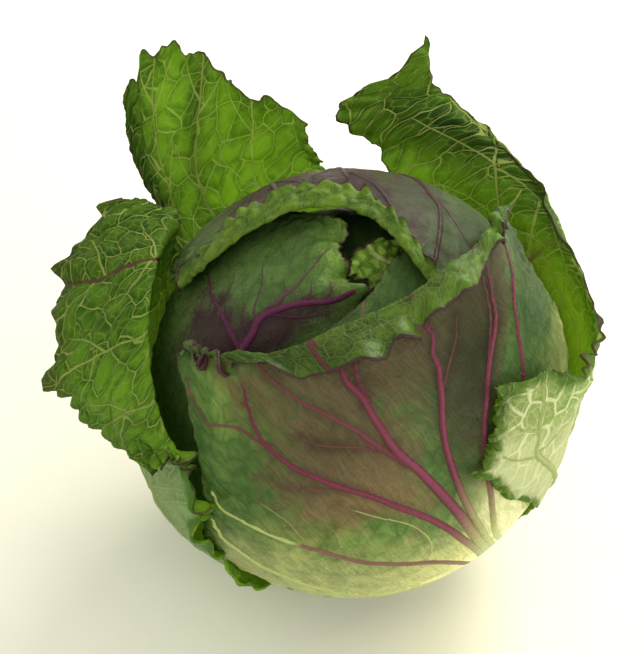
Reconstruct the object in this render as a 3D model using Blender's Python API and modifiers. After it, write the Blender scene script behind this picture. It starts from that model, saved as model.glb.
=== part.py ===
"""Savoy cabbage at rest: a hearted head wrapped by its outer leaves.

Every leaf is a thin sheet on its own node. A leaf is laid out with three
numbers per control point: degrees along from the stem, degrees across from
the leaf's own middle, and millimetres of lift above the ball of the head.
"""

import math

import bmesh
import bpy
from mathutils import Vector, noise

# Driving dimensions, metres unless said otherwise
HEAD_RADIUS = 0.085
REST_SPOT_DEPTH = 0.0017      # how much of the lowest leaf is pressed flat by the table
OUTERMOST_LIFT = 0.0035       # lift of the leaf that the head rests on
STEM_BEARING = -20.0          # degrees round +Z, from +X
STEM_ELEVATION = -52.0        # degrees, negative is down
LEAF_THICKNESS = 0.0010
INNER_THICKNESS = 0.0008
HEART_RADIUS = 0.0680
HEART_RELIEF = 0.0009
CROWN_DENT_DEPTH = 0.012      # hollow of the heart under the hood's opening
CROWN_DENT_WIDTH = 0.020
STALK_RADIUS = 0.0100
STALK_END_LIFT = 0.0055       # how far the cut stalk stands beyond the ball
RIB_HEIGHT = 0.0013
WRAPPER_RIB_HEIGHT = 0.0019
RIB_HALF_WIDTH = 0.0016
BLISTER_HEIGHT = 0.0011       # raised net of the crinkled blades
SEED = Vector((3.1, 7.4, 1.9))

HEAD_HEIGHT = HEAD_RADIUS + OUTERMOST_LIFT + LEAF_THICKNESS / 2 - REST_SPOT_DEPTH
CENTRE = Vector((0.0, 0.0, HEAD_HEIGHT))


def axes_of_the_head():
    """The stem's direction and two more directions square to it."""
    bearing, elevation = math.radians(STEM_BEARING), math.radians(STEM_ELEVATION)
    stem = Vector((
        math.cos(bearing) * math.cos(elevation),
        math.sin(bearing) * math.cos(elevation),
        math.sin(elevation),
    ))
    front = Vector((0.0, -math.cos(math.radians(42)), math.sin(math.radians(42))))
    front = (front - stem * front.dot(stem)).normalized()
    return stem, front, front.cross(stem)


STEM, FRONT, SIDE = axes_of_the_head()


def on_the_ball(azimuth, along, across, lift_mm):
    """A point near the ball, in the leaf's own degrees and millimetres."""
    turn = math.radians(azimuth)
    middle = FRONT * math.cos(turn) + SIDE * math.sin(turn)
    side = SIDE * math.cos(turn) - FRONT * math.sin(turn)
    t, a = math.radians(along), math.radians(across)
    way = (STEM * math.cos(t) + middle * math.sin(t)) * math.cos(a) + side * math.sin(a)
    return CENTRE + way * (HEAD_RADIUS + lift_mm / 1000)


def blend(values, x):
    """A smooth curve through evenly spaced values, at x from 0 to 1."""
    last = len(values) - 1
    i = min(int(x * last), last - 1)
    t = x * last - i
    b, c = values[i], values[i + 1]
    a = values[i - 1] if i else b * 2 - c
    d = values[i + 2] if i + 2 <= last else c * 2 - b
    return (
        b * 2 + (c - a) * t + (a * 2 - b * 5 + c * 4 - d) * t**2
        + (b * 3 - a - c * 3 + d) * t**3
    ) * 0.5


def smooth(x):
    x = min(max(x, 0.0), 1.0)
    return x * x * (3 - 2 * x)


class Leaf:
    """A sheet through a cage of control points, with ribs, blisters and waved edges."""

    def __init__(self, azimuth, cage, ribs=(), cross_ribs=(), wave=(), scallop=0.0,
                 blister=0.0, free_from=1.0, close_rows=(), thickness=LEAF_THICKNESS,
                 rib_height=RIB_HEIGHT):
        self.azimuth = azimuth
        self.cage = [[Vector(point) for point in row] for row in cage]
        self.ribs = ribs              # across positions, 0 to 1
        self.cross_ribs = cross_ribs  # (along position, from across, to across)
        self.scallop = scallop        # how deep the tip is notched, as a share of the length
        self.wave = wave              # (side, count, height in metres)
        self.blister = blister
        self.free_from = free_from    # share of the length where the blade leaves the head
        self.close_rows = close_rows  # extra lengthwise stations, where the leaf is pressed flat
        self.thickness = thickness
        self.rib_height = rib_height
        middle = self.plain(0.5, 0.3)
        way = (self.plain(0.51, 0.3) - middle).cross(self.plain(0.5, 0.31) - middle)
        self.turned = -1.0 if way.dot(middle - CENTRE) < 0 else 1.0

    def plain(self, u, v):
        return on_the_ball(self.azimuth, *blend([blend(row, u) for row in self.cage], v))

    def normal(self, u, v):
        step = 0.004
        u0, u1, v0, v1 = max(u - step, 0), min(u + step, 1), max(v - step, 0), min(v + step, 1)
        way = (self.plain(u1, v) - self.plain(u0, v)).cross(self.plain(u, v1) - self.plain(u, v0))
        return way.normalized() * self.turned

    def waves(self, u, v):
        """Height of the waved margins."""
        total = 0.0
        for side, count, height in self.wave:
            edge, run = {"left": (u, v), "right": (1 - u, v), "tip": (1 - v, u)}[side]
            near = smooth(1 - edge / 0.16)
            start = smooth((v - 0.25) / 0.2) if side != "tip" else 1.0
            swell = 0.7 + 0.5 * noise.noise(Vector((run * 5, count * 0.37, 0)) + SEED)
            phase = run * count + 0.35 * noise.noise(Vector((run * 9, 0, count)) + SEED)
            total += height * near * start * swell * math.sin(2 * math.pi * phase)
        return total

    def at(self, u, v, rib):
        notch = self.scallop * (0.5 + noise.noise(Vector((u * 9, 2.5, 0)) + SEED))
        v = v * (1 - notch * smooth((v - 0.6) / 0.4))
        base = self.plain(u, v)
        free = smooth((v - self.free_from) / 0.12)
        bump = noise.noise(base * 150 + SEED) * self.blister * (0.45 + 0.55 * free)
        ridge = self.rib_height * rib
        point = base + self.normal(u, v) * (bump + ridge + self.waves(u, v))
        floor = self.thickness / 2
        if base.z < floor:
            point = Vector((base.x, base.y, floor))
        return Vector((point.x, point.y, max(point.z, floor)))

    def stations(self, across, along):
        """Positions of the sheet's columns and rows, with three lines to a rib."""
        width = (self.plain(1.0, 0.6) - self.plain(0.5, 0.6)).length * 2
        length = (self.plain(0.5, 0.9) - self.plain(0.5, 0.5)).length * 2.5
        columns = self.lines(across, self.ribs, RIB_HALF_WIDTH / width)
        rows = self.lines(along, [rib[0] for rib in self.cross_ribs], RIB_HALF_WIDTH / length)
        rows = sorted(rows + [(v, 0.0) for v in self.close_rows])
        return columns, rows

    def lines(self, count, ribs, half):
        """Evenly spaced lines from 0 to 1, cleared near each rib, with 1.0 marking its crest."""
        half = min(half, 0.3 / count)
        found = {round(i / count, 4): 0.0 for i in range(count + 1)}
        for rib in ribs:
            for near in [x for x in found if abs(x - rib) < half + 0.3 / count]:
                if near not in (0.0, 1.0):
                    del found[near]
            found.update({round(rib - half, 4): 0.0, rib: 1.0, round(rib + half, 4): 0.0})
        return sorted(found.items())

    def crest(self, column, row):
        """How much of a rib's full height a vertex has."""
        (u, on_rib), (v, on_cross) = column, row
        for place, start, end in self.cross_ribs:
            if on_cross and abs(place - v) < 1e-6 and min(start, end) <= u <= max(start, end):
                return max(on_rib, 1 - 0.7 * abs(u - start) / abs(end - start))
        return on_rib * (1 - 0.75 * v) * smooth((v - 0.08) / 0.22)


def material(name, colour, roughness):
    made = bpy.data.materials.new(name)
    made.use_nodes = True
    shader = made.node_tree.nodes["Principled BSDF"]
    shader.inputs["Base Color"].default_value = (*colour, 1.0)
    shader.inputs["Roughness"].default_value = roughness
    made.diffuse_color = (*colour, 1.0)
    return made


def object_of(name, mesh_maker, used):
    """A mesh object filled by mesh_maker and placed as made."""
    mesh = bpy.data.meshes.new(name)
    grid = bmesh.new()
    mesh_maker(grid)
    grid.to_mesh(mesh)
    grid.free()
    made = bpy.data.objects.new(name, mesh)
    bpy.context.scene.collection.objects.link(made)
    mesh.materials.append(used)
    return made


def add_leaf(name, leaf, across, along, used):
    """A leaf as a grid bent onto its cage, split into triangles and then thickened."""
    columns, rows = leaf.stations(across, along)

    def sheet(grid):
        bmesh.ops.create_grid(
            grid, x_segments=len(columns) - 1, y_segments=len(rows) - 1, size=0.5
        )
        for vert in grid.verts:
            i = round((vert.co.x + 0.5) * (len(columns) - 1))
            j = round((vert.co.y + 0.5) * (len(rows) - 1))
            vert.co = leaf.at(columns[i][0], rows[j][0], leaf.crest(columns[i], rows[j]))
        bmesh.ops.triangulate(grid, faces=grid.faces[:])
        if leaf.turned < 0:
            bmesh.ops.reverse_faces(grid, faces=grid.faces[:])

    made = object_of(name, sheet, used)
    skin = made.modifiers.new("thickness", "SOLIDIFY")
    skin.thickness = leaf.thickness
    skin.offset = 0.0
    return made


def add_heart(used):
    """The crinkled core that the head leaves wrap."""
    crown = on_the_ball(30, 136, 0, 0) - CENTRE

    def ball(grid):
        bmesh.ops.create_icosphere(grid, subdivisions=4, radius=HEART_RADIUS)
        for vert in grid.verts:
            way = vert.co.normalized()
            fold = noise.noise(way * 4.0 + SEED) + 0.5 * noise.noise(way * 11.0 + SEED)
            apart = (way - crown.normalized()).length * HEART_RADIUS
            dent = CROWN_DENT_DEPTH * math.exp(-((apart / CROWN_DENT_WIDTH) ** 2))
            vert.co = CENTRE + way * (HEART_RADIUS + HEART_RELIEF * (fold - 0.9) - dent)

    return object_of("heart", ball, used)


def add_stalk(used):
    """The cut stub of the stem, from just under the heart out past the leaves."""
    start = HEART_RADIUS + 0.0006
    length = HEAD_RADIUS + STALK_END_LIFT - start

    def stub(grid):
        bmesh.ops.create_cone(
            grid, cap_ends=True, cap_tris=False, segments=24,
            radius1=STALK_RADIUS * 0.92, radius2=STALK_RADIUS, depth=length,
        )
        turn = Vector((0, 0, 1)).rotation_difference(STEM)
        for vert in grid.verts:
            ridge = 1 + 0.05 * math.cos(6 * math.atan2(vert.co.y, vert.co.x))
            local = Vector((vert.co.x * ridge, vert.co.y * ridge, vert.co.z))
            vert.co = CENTRE + turn @ local + STEM * (start + length / 2)

    made = object_of("stalk", stub, used)
    edge = made.modifiers.new("worn edge", "BEVEL")
    edge.width = 0.0010
    edge.segments = 2
    edge.limit_method = "ANGLE"
    return made


# Cages: rows run from the stem outwards, and each row runs across the leaf.
# Each entry is (degrees along, degrees across, millimetres of lift).
FRONT_LEAF = [
    [(9, -10, 0), (9, -5, 0), (9, -3, 0), (9, -1.5, 0), (9, 0, 0),
     (9, 1.5, 0), (9, 3, 0), (9, 5, 0), (9, 10, 0)],
    [(28, -40, 0), (31, -14, 0), (30, -5, 0), (30, -2, 0), (30, 0, 0),
     (30, 2, 0), (30, 4.5, 0), (29, 14, 0), (25, 46, 0)],
    [(48, -71, 0), (40, -31, 0), (52, -10, 0), (50, -2, 0), (50, 0, 0),
     (50, 2, 0), (50, 5, 0), (50, 15, 0), (46, 67, 0)],
    [(74, -74, 0), (62, -47, 0), (70, -26, 0), (70, -5, 0), (70, 0.5, 0),
     (70, 3.5, 0), (70, 11, 0), (70, 24, 0), (72, 68, 0)],
    [(90, -70, 0), (79, -54, 0), (85, -36, 0), (84, -11, 0), (86, 0.5, 0),
     (86, 8, 0), (84, 19, 0), (85, 37, 0), (88, 71, 0)],
    [(101, -63, 0), (95, -55, 0), (98, -43, 0), (98, -20, 0), (100, 0, 0),
     (98, 15, 0), (94, 31, 0), (96, 48, 0), (100, 73, 0)],
    [(112, -54, 0), (111, -50, 0), (110, -45, 0), (110, -25, 0), (111, -1, 0.3),
     (106, 20, 0.4), (102, 43, 0.4), (106, 58, 0.4), (112, 74, 0.4)],
    [(131, -40, 0.5), (129, -37, 0.8), (126, -33, 1.1), (123, -25, 1.4), (119, -2, 2.0),
     (114, 25, 2.8), (114, 50, 3.0), (120, 63, 2.6), (126, 74, 2.0)],
    [(147, -31, 2.2), (145, -28, 2.6), (143, -25, 3.2), (138, -21, 4.0), (126, -3, 4.6),
     (120, 28, 6.2), (124, 51, 6.4), (134, 62, 6.0), (140, 71, 4.5)],
    [(149, -29, 4.2), (146, -26, 4.8), (142, -23, 5.4), (135, -18, 6.4), (116, -2, 7.6),
     (111, 27, 9.4), (115, 48, 10.5), (124, 57, 11.0), (131, 67, 9.0)],
]
LEFT_LEAF = [
    [(9, -10, 3.5), (9, -5, 3.5), (9, 0, 3.5), (9, 5, 3.5), (9, 10, 3.5)],
    [(26, -30, 3.5), (28, -16, 3.5), (28, -3, 3.5), (29, 6, 3.5), (30, 13, 3.5)],
    [(52, -42, 3.5), (53, -22, 3.5), (53, -2, 3.5), (54, 10, 3.5), (56, 21, 3.5)],
    [(80, -44, 3.5), (80, -22, 3.5), (79, 0, 3.5), (78, 16, 3.5), (76, 32, 4.0)],
    [(108, -40, 3.5), (108, -19, 3.5), (106, 3, 3.5), (104, 26, 4.2), (102, 48, 5.0)],
    [(136, -32, 3.5), (136, -13, 3.5), (131, 10, 3.6), (122, 33, 4.4), (113, 51, 5.4)],
    [(158, -20, 4.2), (158, -1, 4.4), (150, 18, 4.8), (139, 34, 5.4), (125, 47, 5.8)],
    [(165, -19, 9.0), (161, 4, 8.4), (151, 23, 8.6), (139, 35, 8.0), (127, 45, 7.2)],
    [(163, -21, 20.0), (150, -1, 20.0), (139, 15, 18.0), (131, 27, 11.5), (126, 42, 8.4)],
    [(158, -22, 33.0), (141, -8, 36.0), (127, 6, 31.0), (120, 16, 15.0), (123, 38, 9.6)],
]
BACK_LEFT_LEAF = [
    [(9, -10, 0.8), (9, -5, 0.8), (9, 0, 0.8), (9, 5, 0.8), (9, 10, 0.8)],
    [(28, -26, 0.8), (30, -13, 0.8), (31, 0, 0.8), (30, 13, 0.8), (28, 26, 0.8)],
    [(56, -36, 0.8), (58, -18, 0.8), (58, 0, 0.8), (58, 18, 0.8), (56, 36, 0.8)],
    [(84, -38, 0.8), (87, -18, 0.8), (89, 2, 0.8), (89, 20, 0.8), (87, 38, 0.8)],
    [(104, -34, 4.0), (108, -15, 3.4), (113, 4, 2.6), (117, 18, 2.0), (120, 32, 1.4)],
    [(112, -29, 10.0), (119, -10, 11.0), (127, 6, 10.0), (133, 15, 8.4), (137, 23, 7.0)],
    [(118, -24, 17.0), (127, -7, 21.0), (136, 3, 27.0), (140, 9, 27.0), (141, 14, 23.0)],
    [(123, -21, 26.0), (134, -12, 34.0), (141, -5, 46.0), (144, 2, 53.0), (144, 9, 47.0)],
    [(129, -23, 37.0), (142, -16, 47.0), (145, -12, 67.0), (147, -6, 79.0), (145, 2, 72.0)],
]
RIGHT_LEAF = [
    [(9, -10, 3.2), (9, -6, 3.2), (9, -2, 3.2), (9, 2, 3.2), (9, 6, 3.2), (9, 10, 3.2)],
    [(23, -29, 3.2), (25, -19, 3.2), (26, -7, 3.2), (26, 5, 3.2), (25, 17, 3.2), (24, 29, 3.2)],
    [(32, -58, 3.2), (38, -38, 3.2), (43, -16, 3.2), (47, 6, 3.2), (50, 25, 3.2), (48, 44, 3.2)],
    [(44, -67, 3.4), (48, -50, 3.6), (53, -22, 4.2), (64, 6, 5.0), (75, 28, 4.4), (78, 49, 3.8)],
    [(60, -67, 4.2), (57, -52, 5.4), (59, -26, 7.0), (73, 4, 9.0), (92, 25, 13.0), (104, 47, 9.0)],
    [(72, -65, 4.8), (65, -52, 7.4), (63, -30, 11.0), (78, 3, 12.5), (99, 26, 25.0), (124, 44, 20.0)],
    [(84, -61, 5.4), (77, -50, 9.6), (68, -35, 13.5), (79, 1, 15.0), (102, 28, 35.0), (138, 38, 34.0)],
    [(86, -60, 6.0), (79, -48, 11.0), (70, -35, 15.0), (80, 2, 16.5), (107, 31, 41.0), (125, 33, 62.0)],
]
HOOD_LEAF = [
    [(13, -8, -3), (13, -5, -3), (13, -2, -3), (13, 1, -3), (13, 4, -3), (13, 8, -3)],
    [(48, -34, -3), (48, -31, -3), (48, -27, -3), (49, -9, -3), (49, 14, -3), (48, 38, -3)],
    [(82, -47, -3), (82, -44, -3), (82, -38, -3), (82, -12, -3), (82, 18, -3), (82, 48, -3)],
    [(108, -45, -2.6), (108, -44, -3), (108, -36, -3), (108, -12, -3), (108, 16, -3), (108, 46, -3)],
    [(123, -37, 0.6), (121, -42, -1.4), (121, -33, -3), (122, -10, -3), (123, 14, -3), (124, 40, -3)],
    [(134, -26, 3.4), (133, -33, 1.2), (134, -25, -2.4), (136, -7, -2.6), (137, 13, -3), (138, 36, -3)],
    [(144, -15, 4.6), (145, -22, 2.4), (146, -14, -1.4), (149, 1, -2.4), (150, 16, -2.8), (151, 33, -3)],
    [(157, -11, 5.0), (159, -18, 2.8), (160, -10, -1.2), (162, 3, -2.2), (163, 16, -2.8), (164, 29, -3)],
    [(170, -11, 4.8), (173, -18, 2.4), (173, -10, -1.4), (175, 1, -2.2), (176, 13, -2.8), (177, 25, -3)],
    [(183, -13, 3.6), (186, -18, 1.2), (187, -11, -1.8), (188, -1, -2.4), (189, 9, -2.8), (190, 20, -3)],
    [(193, -13, 2.4), (198, -15, 0.0), (199, -10, -2.0), (200, -2, -2.6), (201, 6, -2.8), (202, 15, -3)],
]
BACK_LEAF = [
    [(13, -8, -3), (13, -4, -3), (13, 0, -3), (13, 4, -3), (13, 8, -3)],
    [(38, -30, -3), (39, -15, -3), (40, 0, -3), (39, 15, -3), (38, 30, -3)],
    [(68, -46, -3), (70, -23, -3), (71, 0, -3), (70, 23, -3), (68, 46, -3)],
    [(98, -48, -3), (102, -24, -3), (103, 0, -3), (102, 24, -3), (98, 48, -3)],
    [(124, -36, -3), (130, -18, -3), (132, 0, -3), (130, 18, -3), (124, 36, -3)],
]
INNER_LEAF_LEFT = [
    [(13, -8, -9), (13, -4, -9), (13, 0, -9), (13, 4, -9), (13, 8, -9)],
    [(55, -40, -9), (55, -20, -9), (55, -2, -9.6), (55, 16, -10), (55, 32, -10)],
    [(98, -54, -9), (98, -28, -9), (99, -2, -10.2), (102, 18, -12), (104, 35, -12.4)],
    [(126, -56, -8), (127, -31, -8.6), (125, -1, -10.6), (128, 19, -12.6), (131, 38, -13.2)],
    [(139, -50, -7), (140, -29, -6.6), (136, 3, -6.8), (141, 20, -7.4), (143, 38, -10)],
    [(150, -43, -6.4), (152, -24, -6), (147, 2, -5.4), (149, 19, -6), (149, 36, -7.6)],
    [(164, -34, -7), (168, -16, -6.6), (163, 4, -5.8), (162, 19, -6.2), (158, 35, -6)],
    [(178, -26, -8), (184, -10, -8), (181, 8, -7.2), (178, 22, -7), (170, 36, -5.4)],
]
INNER_LEAF_RIGHT = [
    [(13, -8, -6), (13, -4, -6), (13, 0, -6), (13, 4, -6), (13, 8, -6)],
    [(55, -34, -6), (55, -16, -6), (55, 4, -6), (55, 24, -6), (55, 44, -6)],
    [(95, -36, -6), (95, -14, -6), (95, 8, -6), (95, 30, -6), (95, 52, -6)],
    [(112, -27, -6), (112, -8, -6), (112, 10, -5.6), (112, 30, -5.6), (112, 50, -6)],
    [(122, -15, -6.4), (121, -2, -5.2), (120, 12, -4.4), (122, 28, -5), (121, 46, -6)],
    [(128, -10, -7.4), (127, 5, -6), (128, 18, -5), (134, 31, -5.6), (132, 46, -6)],
]
INNER_LEAF_SMALL = [
    [(80, 2, -11.5), (80, 8, -11.5), (80, 14, -11.5), (80, 20, -11.5)],
    [(106, 1, -11.5), (106, 7, -11.5), (106, 13, -11.5), (105, 19, -11.5)],
    [(124, -1, -11.3), (124, 5, -11.3), (123, 11, -11.3), (122, 17, -11.3)],
    [(131, -3, -9.6), (132, 3, -9.2), (130, 9, -9.2), (127, 15, -9.6)],
    [(134, -4, -6.6), (136, 2, -6), (134, 9, -6), (130, 14, -6.6)],
]


def main():
    for old in list(bpy.data.objects):
        bpy.data.objects.remove(old, do_unlink=True)
    flushed = material("flushed_leaf", (0.10, 0.075, 0.045), 0.45)
    wrapper = material("wrapper_leaf", (0.16, 0.32, 0.06), 0.5)
    head = material("head_leaf", (0.10, 0.20, 0.07), 0.45)
    heart = material("heart_leaf", (0.12, 0.24, 0.06), 0.5)
    stalk = material("cut_stalk", (0.62, 0.62, 0.36), 0.6)

    add_leaf("front_leaf", Leaf(
        0, FRONT_LEAF, ribs=(0.125, 0.25, 0.375, 0.5, 0.625, 0.75, 0.875),
        wave=(("tip", 8, 0.0021), ("right", 3, 0.0005)), scallop=0.03,
        blister=0.0003, free_from=0.9,
    ), 24, 17, flushed)
    add_leaf("left_leaf", Leaf(
        -105, LEFT_LEAF, ribs=(0.25, 0.5, 0.75), scallop=0.05,
        wave=(("right", 7, 0.0018), ("tip", 7, 0.0032), ("left", 4, 0.0018)),
        blister=BLISTER_HEIGHT, free_from=0.72, close_rows=(0.115, 0.155, 0.2),
        rib_height=WRAPPER_RIB_HEIGHT,
    ), 14, 22, wrapper)
    add_leaf("back_left_leaf", Leaf(
        175, BACK_LEFT_LEAF, ribs=(0.25, 0.5, 0.75), scallop=0.045,
        wave=(("right", 4, 0.0018), ("tip", 6, 0.0032), ("left", 5, 0.0026)),
        blister=BLISTER_HEIGHT, free_from=0.55, rib_height=WRAPPER_RIB_HEIGHT,
    ), 12, 20, wrapper)
    add_leaf("right_leaf", Leaf(
        85, RIGHT_LEAF, ribs=(0.2, 0.4, 0.6, 0.8), scallop=0.04,
        wave=(("left", 6, 0.0012), ("tip", 9, 0.0022), ("right", 6, 0.0026)),
        blister=BLISTER_HEIGHT, free_from=0.55, rib_height=WRAPPER_RIB_HEIGHT,
    ), 16, 20, wrapper)
    add_leaf("hood_leaf", Leaf(
        80, HOOD_LEAF, wave=(("left", 11, 0.0014),),
        cross_ribs=((0.44, 1.0, 0.2), (0.57, 0.9, 0.2), (0.72, 0.9, 0.2)),
        blister=0.0003, free_from=0.95, thickness=INNER_THICKNESS,
    ), 15, 20, flushed)
    add_leaf("back_leaf", Leaf(
        -165, BACK_LEAF, ribs=(0.3, 0.5, 0.7), blister=0.0003, thickness=INNER_THICKNESS,
    ), 8, 9, wrapper)
    add_leaf("inner_leaf_left", Leaf(
        -30, INNER_LEAF_LEFT, ribs=(0.45,), cross_ribs=((0.5714, 0.5, 1.0),),
        wave=(("right", 9, 0.0011),), blister=0.0003, thickness=INNER_THICKNESS,
    ), 12, 12, head)
    add_leaf("inner_leaf_right", Leaf(
        0, INNER_LEAF_RIGHT, ribs=(0.45,), blister=0.0003, thickness=INNER_THICKNESS,
    ), 9, 10, head)
    add_leaf("inner_leaf_small", Leaf(
        30, INNER_LEAF_SMALL, wave=(("tip", 3, 0.0012),), thickness=INNER_THICKNESS,
    ), 9, 8, heart)
    add_heart(heart)
    add_stalk(stalk)


main()
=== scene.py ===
"""Savoy cabbage: crinkled leaves, coloured ribs and a plain stage around the fixed frame."""

import math

import bmesh
import bpy
import numpy as np
from mathutils import Matrix, Vector, kdtree, noise


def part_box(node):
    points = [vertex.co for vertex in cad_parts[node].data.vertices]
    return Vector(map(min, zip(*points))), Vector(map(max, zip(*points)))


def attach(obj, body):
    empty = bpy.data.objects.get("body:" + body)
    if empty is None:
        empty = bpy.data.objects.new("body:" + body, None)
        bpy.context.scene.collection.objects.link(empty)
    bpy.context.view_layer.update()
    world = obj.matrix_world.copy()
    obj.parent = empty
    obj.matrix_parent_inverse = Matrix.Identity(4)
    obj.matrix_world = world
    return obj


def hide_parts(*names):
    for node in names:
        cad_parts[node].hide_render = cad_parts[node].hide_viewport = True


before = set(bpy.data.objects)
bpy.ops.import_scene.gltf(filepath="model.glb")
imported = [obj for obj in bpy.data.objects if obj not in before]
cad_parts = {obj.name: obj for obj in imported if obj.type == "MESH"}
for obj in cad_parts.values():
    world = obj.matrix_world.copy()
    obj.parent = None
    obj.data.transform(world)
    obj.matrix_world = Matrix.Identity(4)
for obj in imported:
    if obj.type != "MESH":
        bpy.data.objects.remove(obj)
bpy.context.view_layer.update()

bl_info = {
    "name": "Savoy cabbage",
    "version": (1, 0, 0),
    "blender": (4, 5, 0),
    "location": "View3D > Sidebar > Cabbage",
    "description": "Builds the leaves, heart and stalk of a savoy cabbage on its frame",
    "category": "Object",
}

# The ball of the head and the way its stem points, as in the frame
HEAD_RADIUS = 0.085
CENTRE = np.array((0.0, 0.0, 0.0873))
STEM_BEARING = -20.0          # degrees round +Z, from +X
STEM_ELEVATION = -52.0        # degrees, negative is down
FRONT_ELEVATION = 42.0        # degrees that the front of the head looks up
HEART_RADIUS = 0.068
CROWN = (30.0, 136.0, 0.0)    # azimuth, along and across of the hollow under the hood
CROWN_DENT_DEPTH = 0.012
CROWN_DENT_WIDTH = 0.020
STALK_RADIUS = 0.010
STALK_START = 0.0686          # from the middle of the head, along the stem
STALK_END = 0.0905
STALK_TAPER = 0.92            # of its radius, at the end in the heart
STALK_EDGE = 0.001            # rounding of the cut's edge
STALK_RINGS = 7
RING_STEP = 0.115             # of the radius, from ring to ring of the cut
STALK_RIDGES = 6
RIDGE_HEIGHT = 0.05           # of the radius
PIT_DEPTH = 0.0004            # of the cut's rough middle
SEED = np.array((3.1, 7.4, 1.9))    # moves every noise, so that its zeros miss the leaves

STEP = 0.004                  # of a sheet's length or width, for its slopes
MARGIN = 0.16                 # share of a sheet that its coarse waves reach over
FRILL = 0.07                  # share that its fine frills reach over
WAVE_SWAY = 0.75              # how far a wave also moves in and out, as a share of its height
FRILL_SWAY = 0.45
WAVE_START = 0.12             # share of a side margin, from the stem, before its waves begin
FOLD_DRIFT = 0.7              # how far folds stray from even places, in folds
EVEN_FOLD = 0.55              # parts of a wave's height that are even and irregular
UNEVEN_FOLD = 1.1
LOBE = 0.0065                 # along a margin, from one rounded lobe to the next
FINE_LOBE = 0.37              # size of the small lobes beside the large ones
CORNER = 0.10                 # share of the tip, at each end, with little frill
RIB_START = 0.08              # share of a leaf's length where its main ribs begin
RIB_WOBBLE = 0.0013           # how far a rib strays to the sides
RIB_SAMPLE = 0.0004           # between the places that a rib is measured from
NO_RIB = 50.0                 # millimetres to the nearest rib where there is none
CRINKLE_WIDTH = 22.0          # millimetres in from a margin that its fine crinkles reach
NET_RANDOMNESS = 0.85
FINE_NET = 0.37               # size of the fine cells beside the large ones
NET_DRIFT = 0.28              # how far the net's cells are bent, in cells
MOST_POINTS = 47500           # of one sheet, before it gets its thickness
FLOOR_GAP = 0.00002
STRAY = 0.008                 # the most that a sheet's box may differ from its solid's

CAMERA_FAR = 0.62
CAMERA_ASIDE = -0.01107       # how far the camera stands to the right of the head's middle
CAMERA_ABOVE = 0.02016        # how far it stands above the middle, as it sees it
TABLE_REACH = 4.0
LENS = 57.56                  # millimetres
SENSOR = 24.0
LAMPS = (
    # name, place, size, share of the lamp's power, colour
    ("main lamp", (0.40, 0.60, 0.65), 0.45, 1.0, (1.0, 0.97, 0.84)),
    ("side lamp", (0.65, -0.50, 0.28), 0.5, 0.35, (1.0, 0.98, 0.86)),
)
ROOM_LIGHT = (1.0, 0.985, 0.86, 1.0)


def unit(vectors):
    return vectors / np.linalg.norm(vectors, axis=-1, keepdims=True)


def axes_of_the_head():
    """The stem's direction and two more directions square to it."""
    bearing, elevation = math.radians(STEM_BEARING), math.radians(STEM_ELEVATION)
    stem = np.array((
        math.cos(bearing) * math.cos(elevation),
        math.sin(bearing) * math.cos(elevation),
        math.sin(elevation),
    ))
    tilt = math.radians(FRONT_ELEVATION)
    front = np.array((0.0, -math.cos(tilt), math.sin(tilt)))
    front = unit(front - stem * front.dot(stem))
    return stem, front, np.cross(front, stem)


STEM, FRONT, SIDE = axes_of_the_head()


def on_the_ball(azimuth, places):
    """Points near the ball, from rows of degrees along, degrees across and millimetres of lift."""
    turn = math.radians(azimuth)
    middle = FRONT * math.cos(turn) + SIDE * math.sin(turn)
    side = SIDE * math.cos(turn) - FRONT * math.sin(turn)
    along, across = np.radians(places[:, 0:1]), np.radians(places[:, 1:2])
    way = (STEM * np.cos(along) + middle * np.sin(along)) * np.cos(across)
    way = way + side * np.sin(across)
    return CENTRE + way * (HEAD_RADIUS + places[:, 2:3] / 1000)


def smooth(x):
    x = np.clip(x, 0.0, 1.0)
    return x * x * (3 - 2 * x)


def noises(points):
    """Perlin noise, about -1 to 1, at each of the points."""
    return np.array([noise.noise(point) for point in (points + SEED).tolist()])


def noise_along(x, y, z):
    return noises(np.stack(np.broadcast_arrays(x, y, z), axis=-1).astype(float))


def spans(x, count):
    """Which span of an even row of values each x from 0 to 1 is in, and its four weights."""
    i = np.clip((x * count).astype(int), 0, count - 1)
    t = x * count - i
    weights = (
        (-t + 2 * t**2 - t**3) / 2, (2 - 5 * t**2 + 3 * t**3) / 2,
        (t + 4 * t**2 - 3 * t**3) / 2, (t**3 - t**2) / 2,
    )
    return i, weights


def trace(path, count):
    """Evenly numbered places along a smooth line through the given ones."""
    path = np.array(path, float)
    path = np.concatenate([2 * path[:1] - path[1:2], path, 2 * path[-1:] - path[-2:-1]])
    i, weights = spans(np.linspace(0, 1, count), len(path) - 3)
    return sum(w[:, None] * path[i + k] for k, w in enumerate(weights))


class Rib:
    """A rib or vein: its line, half width in millimetres and tint from start to end, and how
    high it stands as a share of the sheet's own rib height."""

    def __init__(self, path, half, tint=(0.0, 0.0), proud=1.0):
        self.path, self.half, self.tint, self.proud = path, half, tint, proud


def straight(u, half, tint=(0.0, 0.0)):
    """A main rib that follows one lengthwise line of the sheet."""
    return Rib([(u, RIB_START), (u, (RIB_START + 1.0) / 2), (u, 1.0)], half, tint)


def alike(half, tint, proud, *paths):
    """Ribs of one width, tint and height."""
    return [Rib(path, half, tint, proud) for path in paths]


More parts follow.
